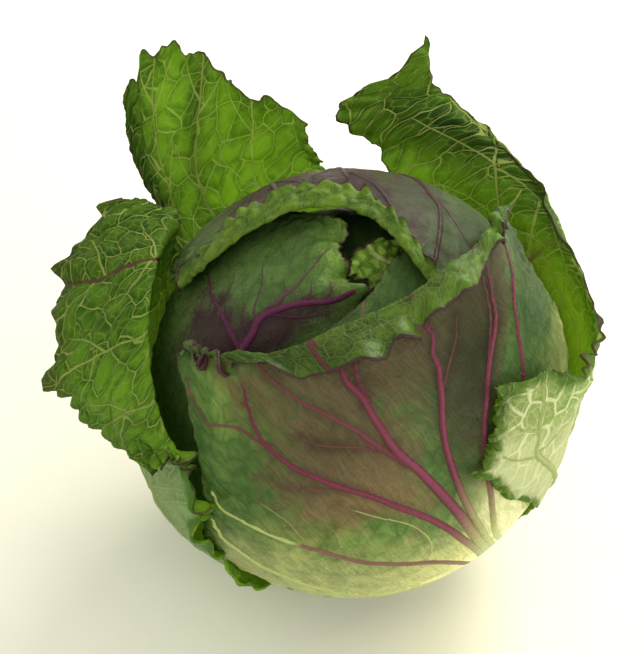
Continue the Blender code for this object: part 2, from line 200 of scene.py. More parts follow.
def side_veins(*stretches):
    """Veins that leave main ribs to both sides and climb towards the margins.

    Each stretch is (u of the rib, first v, last v, count, reach, rise).
    """
    made = []
    for u, first, last, count, reach, rise in stretches:
        for i in range(count):
            v = first + (last - first) * i / max(count - 1, 1)
            wide = reach * (1 - 0.35 * i / count)
            for way, start in ((-1, v), (1, v + 0.02)):
                made.append(Rib([
                    (u, start), (u + way * wide * 0.4, start + rise * 0.3),
                    (u + way * wide * 0.75, start + rise * 0.65), (u + way * wide, start + rise),
                ], (0.5, 0.2), proud=0.35))
    return made


class Leaf:
    """A sheet through a cage of control points, with ribs, a raised net and frilled margins."""

    thickness = 0.001
    waves = ()                # (side, count, height in metres)
    frills = ()               # the same, close to the margin
    scallop = 0.0             # how deep the tip is notched, as a share of the length
    ragged = 0.0              # how far the small rounded lobes reach out
    lobes = ()                # tabs of a margin: (side, place, width, reach)
    blister = 0.0             # height of the broad bumps
    crinkle = 0.0             # height of the fine folds near the margins
    free_from = 1.0           # share of the length where the blade leaves the head
    quilt = (0.3, 0.3)        # millimetres that the net's cells swell, on the head and free
    cell = 11.0               # millimetres across a cell of the net
    rib_height = 0.0013
    ribs = ()
    veins = ()
    flush = ()                # patches of purple: (u, v, reach in u, reach in v, amount)
    pale = ()                 # the same of pale yellow, of painted shade and of painted light
    painted_shade = ()
    sunny = ()
    spacing = 1.2             # millimetres between the points of the mesh

    def __init__(self, azimuth, cage, **facts):
        rows = np.array([np.stack(np.broadcast_arrays(*row), -1) for row in cage], float)
        rows = np.concatenate([2 * rows[:1] - rows[1:2], rows, 2 * rows[-1:] - rows[-2:-1]], 0)
        rows = np.concatenate(
            [2 * rows[:, :1] - rows[:, 1:2], rows, 2 * rows[:, -1:] - rows[:, -2:-1]], 1)
        self.azimuth = azimuth
        self.cage = rows
        vars(self).update(facts)
        middle = self.plain(np.array([0.5, 0.51, 0.5]), np.array([0.3, 0.3, 0.31]))
        way = np.cross(middle[1] - middle[0], middle[2] - middle[0])
        self.turned = -1.0 if way.dot(middle[0] - CENTRE) < 0 else 1.0
        ends = np.linspace(0, 1, 60)
        self.width = max(self.length(ends, np.full(60, v)) for v in (0.3, 0.5, 0.7, 0.9))
        self.long = max(self.length(np.full(60, u), ends) for u in (0.1, 0.5, 0.9))

    def plain(self, u, v):
        """Points of the bare sheet."""
        i, across = spans(u, self.cage.shape[1] - 3)
        j, along = spans(v, self.cage.shape[0] - 3)
        places = sum(
            (along[b] * across[a])[:, None] * self.cage[j + b, i + a]
            for a in range(4) for b in range(4)
        )
        return on_the_ball(self.azimuth, places)

    def normal(self, u, v):
        across = self.plain(u + STEP, v) - self.plain(u - STEP, v)
        along = self.plain(u, v + STEP) - self.plain(u, v - STEP)
        return unit(np.cross(across, along)) * self.turned

    def waved(self, u, v, waves, reach, shift=0.0):
        """Height of the waved margins, for waves that reach this far in."""
        total = np.zeros(len(u))
        for side, count, height in waves:
            edge, run = {"left": (u, v), "right": (1 - u, v), "tip": (1 - v, u)}[side]
            near = smooth(1 - edge / reach)
            corner = smooth((np.minimum(run, 1 - run) - CORNER) / 0.15)
            start = smooth((v - WAVE_START) / 0.2) if side != "tip" else 0.05 + 0.95 * corner
            phase = run * count + FOLD_DRIFT * noise_along(run * count * 0.3, 0, count) + shift
            swell = np.clip(0.9 + 1.3 * noise_along(run * count * 0.45, 3.3, count), 0.1, 1.8)
            fold = EVEN_FOLD * np.sin(2 * math.pi * phase)
            fold += UNEVEN_FOLD * noise_along(phase * 1.7, edge / reach * 0.8, count)
            total += height * near * start * swell * fold
        return total

    def lobed(self, run, row):
        """How far a margin's rounded lobes reach out, this many metres along it."""
        broad = np.abs(noise_along(run / LOBE, row, 2.5))
        small = np.abs(noise_along(run / (LOBE * FINE_LOBE), row, 7.5))
        return self.ragged * (2.0 * broad + 0.8 * small - 0.75)

    def notched(self, u, v):
        """The same places with the margins notched, lobed and swayed."""
        notch = self.scallop * (0.5 + noise_along(u * 9, 2.5, 0))
        down = v * (1 - notch * smooth((v - 0.6) / 0.4))
        corner = smooth(np.minimum(u, 1 - u) / CORNER)
        grown = self.lobed(u * self.width, 1.0) / self.long
        down = down + grown * corner * smooth((v - 0.92) / 0.08)
        out = 2 * u - 1
        grown = self.lobed(v * self.long, np.sign(out) * 3 + 5) / self.width
        grown = grown * smooth((v - 0.25) / 0.2) * smooth((np.abs(out) - 0.84) / 0.16)
        inward = u + np.sign(out) * grown
        for side, place, width, reach in self.lobes:
            if side == "tip":
                grown = reach * np.exp(-((u - place) / width) ** 2)
                down = down + grown * smooth((v - 0.90) / 0.10)
            else:
                way = 1 if side == "right" else -1
                grown = reach * np.exp(-((v - place) / width) ** 2)
                inward = inward + way * grown * smooth((way * out - 0.80) / 0.20)
        kinds = ((MARGIN, WAVE_SWAY, self.waves), (FRILL, FRILL_SWAY, self.frills))
        for reach, share, waves in kinds:
            for wave in waves:
                sway = self.waved(u, v, (wave,), reach, 0.25) * share
                if wave[0] == "tip":
                    down = down + sway / self.long
                else:
                    inward = inward + sway / self.width
        return inward, down

    def counts(self):
        """Columns and rows of the sheet, about evenly spaced."""
        spacing = max(self.spacing / 1000, math.sqrt(self.width * self.long / MOST_POINTS))
        return int(self.width / spacing) + 1, int(self.long / spacing) + 1

    def length(self, u, v):
        return np.linalg.norm(np.diff(self.plain(u, v), axis=0), axis=1).sum()


def rib_marks(leaf, ribs, points, normals):
    """The nearest rib of each point: offset to one side or the other, half width, tint and height."""
    samples, ways, facts = [], [], []
    for rib in ribs:
        rough = np.clip(trace(rib.path, 40), 0, 1)
        rough = leaf.plain(rough[:, 0], rough[:, 1])
        count = int(np.linalg.norm(np.diff(rough, axis=0), axis=1).sum() / RIB_SAMPLE) + 3
        fine = np.clip(trace(rib.path, count), 0, 1)
        share = np.linspace(0, 1, count)
        stray = noise_along(share * count / 35, rib.path[0][0] * 30, rib.path[0][1] * 30)
        fine[:, 0] += RIB_WOBBLE / leaf.width * stray * smooth(share / 0.1)
        line = leaf.plain(fine[:, 0], fine[:, 1])
        ease = smooth(share / 0.15) if rib.proud < 1 else np.ones(count)
        start = smooth((fine[:, 1] - RIB_START) / 0.22)
        samples.append(line)
        ways.append(np.gradient(line, axis=0))
        facts.append(np.stack([
            rib.half[0] + (rib.half[1] - rib.half[0]) * share,
            rib.tint[0] + (rib.tint[1] - rib.tint[0]) * smooth((share - 0.08) / 0.16),
            rib.proud * ease * start * (1 - 0.75 * fine[:, 1]),
        ], axis=1))
    samples, ways, facts = map(np.concatenate, (samples, ways, facts))
    tree = kdtree.KDTree(len(samples))
    for i, point in enumerate(samples.tolist()):
        tree.insert(point, i)
    tree.balance()
    nearest = np.array([tree.find(point)[1] for point in points.tolist()])
    out = points - samples[nearest]
    far = np.linalg.norm(out, axis=1) * 1000
    side = np.sign(np.einsum("ij,ij->i", np.cross(ways[nearest], out), normals))
    half, tint, proud = facts[nearest].T
    ridge = np.clip(1 - (far / (1.4 * half)) ** 2, 0, 1) ** 2 * proud
    return np.stack([side * far, half, tint], axis=1), far, ridge


def patches(spots, u, v):
    """How much of a tint each place has, from soft patches."""
    total = np.zeros(len(u))
    for u0, v0, wide, long, amount in spots:
        total += amount * np.exp(-((u - u0) / wide) ** 2 - ((v - v0) / long) ** 2)
    return np.clip(total, 0, 1)


def placed(name, data):
    """A new object in the scene, at the origin."""
    made = bpy.data.objects.new(name, data)
    bpy.context.scene.collection.objects.link(made)
    return made


def shaped(name, shape, *materials):
    """A mesh with the shape that a function gives to a new bmesh."""
    mesh = bpy.data.meshes.new(name)
    body = bmesh.new()
    shape(body)
    body.to_mesh(mesh)
    body.free()
    for used in materials:
        mesh.materials.append(used)
    return mesh


def net_distance(places, cell):
    """How far each flat place is from the nearest strand of the net, in cells."""
    mesh = bpy.data.meshes.new("net probe")
    mesh.vertices.add(len(places))
    flat = np.zeros((len(places), 3), np.float32)
    flat[:, :2] = places
    mesh.vertices.foreach_set("co", flat.ravel())
    tree = bpy.data.node_groups.new("net probe", "GeometryNodeTree")
    for way in ("INPUT", "OUTPUT"):
        tree.interface.new_socket("Geometry", in_out=way, socket_type="NodeSocketGeometry")
    start, end = tree.nodes.new("NodeGroupInput"), tree.nodes.new("NodeGroupOutput")
    place = tree.nodes.new("GeometryNodeInputPosition")
    net = tree.nodes.new("ShaderNodeTexVoronoi")
    set_net(net, cell)
    store = tree.nodes.new("GeometryNodeStoreNamedAttribute")
    store.inputs["Name"].default_value = "net"
    tree.links.new(start.outputs[0], store.inputs["Geometry"])
    tree.links.new(place.outputs[0], net.inputs["Vector"])
    tree.links.new(net.outputs["Distance"], store.inputs["Value"])
    tree.links.new(store.outputs[0], end.inputs[0])
    probe = placed("net probe", mesh)
    probe.modifiers.new("net", "NODES").node_group = tree
    graph = bpy.context.evaluated_depsgraph_get()
    seen = probe.evaluated_get(graph).to_mesh()
    values = np.empty(len(places), np.float32)
    seen.attributes["net"].data.foreach_get("value", values)
    probe.evaluated_get(graph).to_mesh_clear()
    bpy.data.objects.remove(probe)
    bpy.data.meshes.remove(mesh)
    bpy.data.node_groups.remove(tree)
    return values.astype(float)


def set_net(node, cell):
    """The one texture that both the raised net and its colour come from."""
    node.voronoi_dimensions = "2D"
    node.feature = "DISTANCE_TO_EDGE"
    node.inputs["Scale"].default_value = 1 / cell
    node.inputs["Randomness"].default_value = NET_RANDOMNESS


def add_leaf(name, leaf, outer, inner):
    """A leaf as a grid bent onto its cage, with its marks for the materials, then thickened."""
    columns, rows = leaf.counts()

    def grid(body):
        bmesh.ops.create_grid(body, x_segments=columns - 1, y_segments=rows - 1, size=0.5)
        if leaf.turned < 0:
            bmesh.ops.reverse_faces(body, faces=body.faces[:])

    mesh = shaped(name, grid, outer, inner)
    flat = np.empty(len(mesh.vertices) * 3, np.float32)
    mesh.vertices.foreach_get("co", flat)
    flat = flat.reshape(-1, 3) + 0.5
    column = np.rint(flat[:, 0] * (columns - 1)).astype(int)
    row = np.rint(flat[:, 1] * (rows - 1)).astype(int)

    u, v = (side.ravel() for side in np.meshgrid(
        np.linspace(0, 1, columns), np.linspace(0, 1, rows)))
    u, v = leaf.notched(u, v)
    base, normal = leaf.plain(u, v), leaf.normal(u, v)
    at = base.reshape(rows, columns, 3)
    run = np.zeros((rows, columns, 2))
    run[:, 1:, 0] = np.cumsum(np.linalg.norm(np.diff(at, axis=1), axis=2), axis=1)
    run[1:, :, 1] = np.cumsum(np.linalg.norm(np.diff(at, axis=0), axis=2), axis=0)
    from_right = run[:, -1:, 0] - run[:, :, 0]
    from_tip = run[-1:, :, 1] - run[:, :, 1]
    rim = np.minimum(np.minimum(run[:, :, 0], from_right), from_tip).ravel() * 1000
    run[:, :, 0] -= run[:, columns // 2, 0][:, None]
    mm = run.reshape(-1, 2) * 1000
    drift = np.stack([noises(base * 130), noises(base * 130 + 9.0)], axis=1)
    net_at = mm + drift * leaf.cell * NET_DRIFT

    free = smooth((v - leaf.free_from) / 0.12)
    large = net_distance(net_at, leaf.cell)
    fine = net_distance(net_at, leaf.cell * FINE_NET)
    swell = (leaf.quilt[0] + (leaf.quilt[1] - leaf.quilt[0]) * free) / 1000
    pillow = (1 - (1 - np.clip(large / 0.4, 0, 1)) ** 2) + 0.22 * np.clip(fine / 0.4, 0, 1)
    marks, ridge, nearest = {}, np.zeros(len(u)), np.full(len(u), NO_RIB)
    for mark, group in (("rib", leaf.ribs), ("vein", leaf.veins)):
        if group:
            marks[mark], far, high = rib_marks(leaf, group, base, normal)
            marks[mark + "_far"] = far
            ridge = np.maximum(ridge, high)
            nearest = np.minimum(nearest, far)
    near_rib = smooth(nearest / 5.0)
    height = noises(base * 150) * leaf.blister * (0.45 + 0.55 * free)
    height += leaf.waved(u, v, leaf.waves, MARGIN) + leaf.waved(u, v, leaf.frills, FRILL)
    height += noises(base * 320) * leaf.crinkle * smooth(1 - rim / CRINKLE_WIDTH)
    height += ridge * leaf.rib_height - swell * pillow * (0.35 + 0.65 * near_rib)
    points = base + normal * height[:, None]
    points[:, 2] = np.maximum(points[:, 2], leaf.thickness / 2 + FLOOR_GAP)

    order = row * columns + column
    mesh.vertices.foreach_set("co", points[order].astype(np.float32).ravel())
    for mark in ("flush", "pale", "painted_shade", "sunny"):
        marks[mark] = patches(getattr(leaf, mark), u, v)
    marks["rim_mm"] = rim
    marks["net_at"] = np.concatenate([net_at, np.zeros((len(u), 1))], axis=1)
    for mark, values in marks.items():
        flat = values[order].astype(np.float32).ravel()
        kind, field = ("FLOAT", "value") if values.ndim == 1 else ("FLOAT_VECTOR", "vector")
        mesh.attributes.new(mark, kind, "POINT").data.foreach_set(field, flat)
    mesh.polygons.foreach_set("use_smooth", [True] * len(mesh.polygons))
    mesh.update()
    made = placed("fine_" + name, mesh)
    skin = made.modifiers.new("thickness", "SOLIDIFY")
    skin.thickness = leaf.thickness
    skin.offset = 0.0
    skin.material_offset = 1
    skin.material_offset_rim = 1
    return dress(made, name)


def dress(made, node):
    """Sets the piece on the frame in the place of its node."""
    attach(made, "root")
    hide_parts(node)
    return made


class Shade:
    """Short ways to add nodes to one material."""

    def __init__(self, name):
        self.material = bpy.data.materials.new(name)
        self.material.use_nodes = True
        self.tree = self.material.node_tree
        self.tree.nodes.clear()
        self.own = self.add("ShaderNodeTexCoord").outputs["Object"]

    def add(self, kind, inputs=(), **settings):
        node = self.tree.nodes.new(kind)
        for key, value in settings.items():
            setattr(node, key, value)
        for key, value in dict(inputs).items():
            if isinstance(value, bpy.types.NodeSocket):
                self.tree.links.new(value, node.inputs[key])
            else:
                node.inputs[key].default_value = value
        return node

    def math(self, operation, *values, clamp=False):
        made = self.add("ShaderNodeMath", enumerate(values), operation=operation)
        made.use_clamp = clamp
        return made.outputs[0]

    def plus(self, *values):
        return self.math("ADD", *values)

    def times(self, *values, clamp=False):
        return self.math("MULTIPLY", *values, clamp=clamp)

    def swing(self, value, size):
        """Noise from 0 to 1, made to swing to both sides of 0."""
        return self.times(self.math("SUBTRACT", value, 0.5), size)

    def mark(self, name, output="Fac"):
        return self.add("ShaderNodeAttribute", attribute_name=name).outputs[output]

    def noise(self, scale, detail):
        return self.add("ShaderNodeTexNoise", {
            "Vector": self.own, "Scale": scale, "Detail": detail, "Roughness": 0.6,
        }).outputs["Fac"]

    def between(self, value, low, high, start=0.0, end=1.0):
        """A soft step from start to end, as the value goes from low to high."""
        return self.add("ShaderNodeMapRange", {
            "Value": value, "From Min": low, "From Max": high, "To Min": start, "To Max": end,
        }, interpolation_type="SMOOTHSTEP").outputs[0]

    def mix(self, factor, first, second, blend="MIX"):
        node = self.add("ShaderNodeMix", data_type="RGBA", blend_type=blend)
        for index, value in ((0, factor), (6, first), (7, second)):
            if isinstance(value, bpy.types.NodeSocket):
                self.tree.links.new(value, node.inputs[index])
            elif index:
                node.inputs[index].default_value = (*value[:3], 1.0)
            else:
                node.inputs[index].default_value = value
        return node.outputs[2]

    def shaded(self, factor, colour, tint):
        """The colour, multiplied by a tint where the factor says."""
        return self.mix(factor, colour, self.mix(1.0, colour, tint, "MULTIPLY"))

    def net(self, cell):
        node = self.add("ShaderNodeTexVoronoi", {"Vector": self.mark("net_at", "Vector")})
        set_net(node, cell)
        return node.outputs["Distance"]

    def fibres(self):
        """Noise drawn out along the leaf."""
        drawn = self.add("ShaderNodeVectorMath", {
            0: self.mark("net_at", "Vector"), 1: (0.9, 0.1, 1.0)}, operation="MULTIPLY")
        return self.add("ShaderNodeTexNoise", {
            "Vector": drawn.outputs[0], "Scale": 1.0, "Detail": 4.0}).outputs[0]

    def cell_chance(self, cell):
        """A different number from 0 to 1 for each cell of the net."""
        node = self.add("ShaderNodeTexVoronoi", {"Vector": self.mark("net_at", "Vector")})
        set_net(node, cell)
        node.feature = "F1"
        return self.add("ShaderNodeSeparateXYZ", {0: node.outputs["Color"]}).outputs[0]

    def finish(self, colour, roughness, height, depth, through=None, share=0.0, **constants):
        """The leaf's own shader, with light let through where it is thin."""
        bump = self.add("ShaderNodeBump", {
            "Height": height, "Strength": 0.8, "Distance": depth,
        }).outputs[0]
        skin = self.add("ShaderNodeBsdfPrincipled", {
            "Base Color": colour, "Roughness": roughness, "Normal": bump,
        })
        for name, value in constants.items():
            skin.inputs[name.replace("_", " ")].default_value = value
        shown = skin.outputs[0]
        if share:
            glow = self.add("ShaderNodeBsdfTranslucent", {"Color": through, "Normal": bump})
            shown = self.add("ShaderNodeMixShader", {
                0: share, 1: shown, 2: glow.outputs[0],
            }).outputs[0]
        end = self.add("ShaderNodeOutputMaterial", {"Surface": shown})
        end.is_active_output = True
        return self.material


# Tints that multiply a leaf's colour: painted shade, painted light, blots, fibres, and painted shade
# with purple beside the ribs
SHADE_TINT = (0.25, 0.34, 0.22)
SUN_TINT = (2.6, 2.3, 1.9)
BLOT_TINT = (0.55, 0.50, 0.38)
FIBRE_TINT = (0.35, 0.35, 0.25)
HALO_SHADE_TINT = (0.42, 0.34, 0.46)
# Colours that cover it; UNLIT is the painted shade of the light let through
WHITE_BASE = (0.88, 0.90, 0.55)
SPECKS = (0.02, 0.03, 0.012)
UNLIT = (0.04, 0.07, 0.01)


def leaf_material(name, deep, light, flush, pale, vein, rib, rib_flush, rim, cell, net, fine,
                  roughness, rim_width=1.3, strand_colour=None, strand_width=0.022, net_flush=0.0,
                  flush_share=1.0, pale_share=1.0, pale_net=1.0, sunny_share=1.0, painted_pillow_shading=0.3,
                  mottle=0.3, grain=0.12, halo_shade=0.5, crown=(0.34, 0.09, 0.15), edge_green=None,
                  wet=0.0, specular=0.22, through=0.0, lit=(0.42, 0.75, 0.03)):
    """A leaf's skin: greens with painted light and shade, purple flush, pale base, net, ribs with a
    painted highlight, darker rim and its own relief.
    """
    made = Shade(name)
    broad, middling, small = made.noise(38, 4), made.noise(140, 5), made.noise(900, 3)
    large, little = made.net(cell), made.net(cell * FINE_NET)
    edge_rim = made.mark("rim_mm")
    rough_edge = made.swing(middling, 1.3)

    spread = made.plus(made.times(broad, 0.7), made.times(middling, 0.5))
    # Painted light and shade on the swollen cells: lighter in their middles, darker at the strands
    spread = made.plus(spread, made.between(large, 0.0, 0.35, -painted_pillow_shading, painted_pillow_shading))
    spread = made.plus(spread, made.times(made.cell_chance(cell), 0.22))
    green = made.mix(made.between(spread, 0.45, 0.95), deep, light)
    purple = made.plus(made.mark("flush"), made.times(rough_edge, 0.9))
    purple = made.plus(purple, made.swing(broad, 0.8))
    purple = made.plus(purple, made.swing(small, 0.6))
    purple = made.times(made.between(purple, 0.15, 0.85), flush_share, clamp=True)
    colour = made.mix(purple, green, flush)
    white = made.plus(made.mark("pale"), made.times(rough_edge, 0.35))
    white = made.times(made.between(white, 0.10, 0.95), pale_share, clamp=True)
    white = made.times(white, made.between(edge_rim, 0.5, 6.0, 0.35, 1.0))
    colour = made.mix(white, colour, pale)
    colour = made.mix(made.between(white, 0.78, 1.0, 0.0, 0.70), colour, WHITE_BASE)
    # Patches of painted shade, where the leaf lies in shadow
    colour = made.shaded(made.mark("painted_shade"), colour, SHADE_TINT)
    # Patches of painted light, brightening the colour as if lit or shone through
    colour = made.shaded(made.times(made.mark("sunny"), sunny_share), colour, SUN_TINT)
    colour = made.shaded(made.between(made.noise(75, 5), 0.52, 0.68, 0.0, mottle), colour, BLOT_TINT)
    fibre = made.fibres()
    colour = made.shaded(made.between(fibre, 0.35, 0.75, grain, 0.0), colour, FIBRE_TINT)

    drift = made.swing(small, 0.03)
    strand = made.between(made.plus(large, drift), strand_width, strand_width * 2.1, net, 0.0)
    hair = made.between(made.plus(little, drift), 0.03, 0.09, fine, 0.0)
    strands = made.times(made.math("MAXIMUM", strand, hair),
                         made.between(white, 0.3, 0.9, 1.0, pale_net))
    colour = made.mix(strands, colour, made.mix(net_flush, strand_colour or vein, rib_flush))

    # Beside the ribs, where the leaf is flushed: partly painted shade, partly a darker purple along
    # them
    painted_shade = made.mix(1.0, colour, HALO_SHADE_TINT, "MULTIPLY")
    on_ribs = None
    for mark, share in (("vein", 0.85), ("rib", 1.0)):
        side, half, tint = made.add(
            "ShaderNodeSeparateXYZ", {0: made.mark(mark, "Vector")}).outputs
        far = made.mark(mark + "_far")
        over = made.math("SUBTRACT", made.math("ABSOLUTE", side), half)
        over = made.plus(over, made.times(rough_edge, 0.25))
        near = made.between(made.math("SUBTRACT", far, half), 1.7, 1.2)
        there = made.between(half, 0.0, 0.1)
        on_rib = made.times(made.between(over, 0.22, -0.18), near)
        on_rib = made.times(on_rib, made.times(there, share))
        beside = made.times(made.between(far, 0.4, 4.5, halo_shade, 0.0), purple)
        colour = made.mix(made.times(beside, there), colour, painted_shade)
        tinted = made.mix(tint, rib, rib_flush)
        # Painted highlight: the middle of each rib lighter, in the vein colour or, where flushed, in
        # the crown colour
        top = made.between(over, -0.2, -1.2, 0.0, 0.30)
        tinted = made.mix(top, tinted, made.mix(tint, vein, crown))
        colour = made.mix(on_rib, colour, tinted)
        on_ribs = on_rib if on_ribs is None else made.math("MAXIMUM", on_ribs, on_rib)
    if edge_green:
        wide = made.plus(edge_rim, made.times(rough_edge, 8.0))
        colour = made.mix(made.between(wide, 1.5, 8.0, 0.9, 0.0), colour, edge_green)
    wander = made.plus(edge_rim, made.times(rough_edge, 1.6))
    at_rim = made.between(wander, rim_width, rim_width * 0.35)
    at_rim = made.times(at_rim, made.between(made.mark("pale"), 0.05, 0.45, 1.0, 0.1))
    colour = made.mix(at_rim, colour, rim)
    colour = made.mix(made.between(small, 0.35, 0.75, 0.12, 0.0), colour, SPECKS)

    gloss = made.between(middling, 0.3, 0.7, roughness - 0.07, roughness + 0.12)
    gloss = made.math("SUBTRACT", gloss, made.times(on_ribs, 0.08))
    height = [(strands, 0.5), (on_ribs, 0.6), (fibre, 0.5)]
    if wet:
        drops = made.between(made.noise(520, 2), 0.60, 0.66, 0.0, wet)
        gloss = made.math("SUBTRACT", gloss, made.times(drops, 0.33), clamp=True)
        height.append((drops, 0.4))
    relief = made.times(small, 0.35)
    for part, share in height:
        relief = made.plus(relief, made.times(part, share))
    glow = None
    if through:
        # Where painted shade lies, the colour of the light let through is darkened to UNLIT as well
        glow = made.mix(made.mark("painted_shade"), made.mix(0.55, colour, lit), UNLIT)
    return made.finish(colour, gloss, relief, 0.0005, glow, through,
                       Specular_IOR_Level=specular, IOR=1.42)


# Cages: rows run from the stem outwards, and each row runs across the leaf. A row holds degrees
# along, degrees across and millimetres of lift, and a number alone stands for the whole row.
FRONT_LEAF = [
    (9, (-10, -5, -3, -1.5, 0, 1.5, 3, 5, 10), 0),
    ((28, 31, 30, 30, 30, 30, 30, 29, 25), (-40, -14, -5, -2, 0, 2, 4.5, 14, 46), 0),
    ((48, 40, 52, 50, 50, 50, 50, 50, 46), (-71, -31, -10, -2, 0, 2, 5, 15, 67), 0),
    ((74, 62, 70, 70, 70, 70, 70, 70, 72), (-74, -47, -26, -5, 0.5, 3.5, 11, 24, 68), 0),
    ((90, 79, 85, 84, 86, 86, 84, 85, 88), (-70, -54, -36, -11, 0.5, 8, 19, 37, 71), 0),
    ((101, 95, 98, 98, 100, 98, 94, 96, 100), (-63, -55, -43, -20, 0, 15, 31, 48, 73), 0),
    ((112, 111, 110, 110, 111, 106, 102, 106, 112), (-54, -50, -45, -25, -1, 20, 43, 58, 74),
     (0, 0, 0, 0, 0.3, 0.4, 0.4, 0.4, 0.4)),
    ((131, 129, 126, 123, 119, 114, 114, 120, 126), (-40, -37, -33, -25, -2, 25, 50, 63, 74),
     (0.5, 0.8, 1.1, 1.4, 2, 2.8, 3, 2.6, 2)),
    ((147, 145, 143, 138, 126, 120, 124, 134, 140), (-31, -28, -25, -21, -3, 28, 51, 62, 71),
     (2.2, 2.6, 3.2, 4, 4.6, 6.2, 6.4, 6, 4.5)),
    ((149, 146, 142, 135, 116, 111, 115, 124, 131), (-29, -26, -23, -18, -2, 27, 48, 57, 67),
     (4.2, 4.8, 5.4, 6.4, 7.6, 9.4, 10.5, 11, 9)),
]
LEFT_LEAF = [
    (9, (-10, -5, 0, 5, 10), 3.5),
    ((26, 28, 28, 29, 30), (-30, -16, -3, 6, 13), 3.5),
    ((52, 53, 53, 54, 56), (-42, -22, -2, 10, 21), 3.5),
    ((80, 80, 79, 78, 76), (-44, -22, 0, 16, 32), (3.5, 3.5, 3.5, 3.5, 4)),
    ((108, 108, 106, 104, 102), (-40, -19, 3, 26, 48), (3.5, 3.5, 3.5, 4.2, 5)),
    ((136, 136, 131, 122, 113), (-32, -13, 10, 33, 51), (3.5, 3.5, 3.6, 4.4, 5.4)),
    ((158, 158, 150, 139, 125), (-20, -1, 18, 34, 47), (4.2, 4.4, 4.8, 5.4, 5.8)),
    ((165, 161, 151, 139, 127), (-19, 4, 23, 35, 45), (9, 8.4, 8.6, 8, 7.2)),
    ((163, 150, 139, 131, 126), (-21, -1, 15, 27, 42), (20, 20, 18, 11.5, 8.4)),
    ((158, 141, 127, 120, 123), (-22, -8, 6, 16, 38), (33, 36, 31, 15, 9.6)),
]
BACK_LEFT_LEAF = [
    (9, (-10, -5, 0, 5, 10), 0.8),
    ((28, 30, 31, 30, 28), (-26, -13, 0, 13, 26), 0.8),
    ((56, 58, 58, 58, 56), (-36, -18, 0, 18, 36), 0.8),
    ((84, 87, 89, 89, 87), (-38, -18, 2, 20, 38), 0.8),
    ((104, 108, 113, 117, 120), (-34, -15, 4, 18, 32), (4, 3.4, 2.6, 2, 1.4)),
    ((112, 119, 127, 133, 137), (-29, -10, 6, 15, 23), (10, 11, 10, 8.4, 7)),
    ((118, 127, 136, 140, 141), (-24, -7, 3, 9, 14), (17, 21, 27, 27, 23)),
    ((123, 134, 141, 144, 144), (-21, -12, -5, 2, 9), (26, 34, 46, 53, 47)),
    ((129, 142, 145, 147, 145), (-23, -16, -12, -6, 2), (37, 47, 67, 79, 72)),
]
RIGHT_LEAF = [
    (9, (-10, -6, -2, 2, 6, 10), 3.2),
    ((23, 25, 26, 26, 25, 24), (-29, -19, -7, 5, 17, 29), 3.2),
    ((32, 38, 43, 47, 50, 48), (-58, -38, -16, 6, 25, 44), 3.2),
    ((44, 48, 53, 64, 75, 78), (-67, -50, -22, 6, 28, 49), (3.4, 3.6, 4.2, 5, 4.4, 3.8)),
    ((60, 57, 59, 73, 92, 104), (-67, -52, -26, 4, 25, 47), (4.2, 5.4, 7, 9, 13, 9)),
    ((72, 65, 63, 78, 99, 124), (-65, -52, -30, 3, 26, 44), (4.8, 7.4, 11, 12.5, 25, 20)),
    ((84, 77, 68, 79, 102, 138), (-61, -50, -35, 1, 28, 38), (5.4, 9.6, 13.5, 15, 35, 34)),
    ((86, 79, 70, 80, 107, 125), (-60, -48, -35, 2, 31, 33), (6, 11, 15, 16.5, 41, 62)),
]
HOOD_LEAF = [
    (13, (-8, -5, -2, 1, 4, 8), -3),
    ((48, 48, 48, 49, 49, 48), (-34, -31, -27, -9, 14, 38), -3),
    (82, (-47, -44, -38, -12, 18, 48), -3),
    (108, (-45, -44, -36, -12, 16, 46), (-2.6, -3, -3, -3, -3, -3)),
    ((123, 121, 121, 122, 123, 124), (-37, -42, -33, -10, 14, 40), (0.6, -1.4, -3, -3, -3, -3)),
    ((134, 133, 134, 136, 137, 138), (-26, -33, -25, -7, 13, 36), (3.4, 1.2, -2.4, -2.6, -3, -3)),
    ((144, 145, 146, 149, 150, 151), (-15, -22, -14, 1, 16, 33), (4.6, 2.4, -1.4, -2.4, -2.8, -3)),
    ((157, 159, 160, 162, 163, 164), (-11, -18, -10, 3, 16, 29), (5, 2.8, -1.2, -2.2, -2.8, -3)),
    ((170, 173, 173, 175, 176, 177), (-11, -18, -10, 1, 13, 25), (4.8, 2.4, -1.4, -2.2, -2.8, -3)),
    ((183, 186, 187, 188, 189, 190), (-13, -18, -11, -1, 9, 20), (3.6, 1.2, -1.8, -2.4, -2.8, -3)),
    ((193, 198, 199, 200, 201, 202), (-13, -15, -10, -2, 6, 15), (2.4, 0, -2, -2.6, -2.8, -3)),
]
BACK_LEAF = [
    (13, (-8, -4, 0, 4, 8), -3),
    ((38, 39, 40, 39, 38), (-30, -15, 0, 15, 30), -3),
    ((68, 70, 71, 70, 68), (-46, -23, 0, 23, 46), -3),
    ((98, 102, 103, 102, 98), (-48, -24, 0, 24, 48), -3),
    ((124, 130, 132, 130, 124), (-36, -18, 0, 18, 36), -3),
]
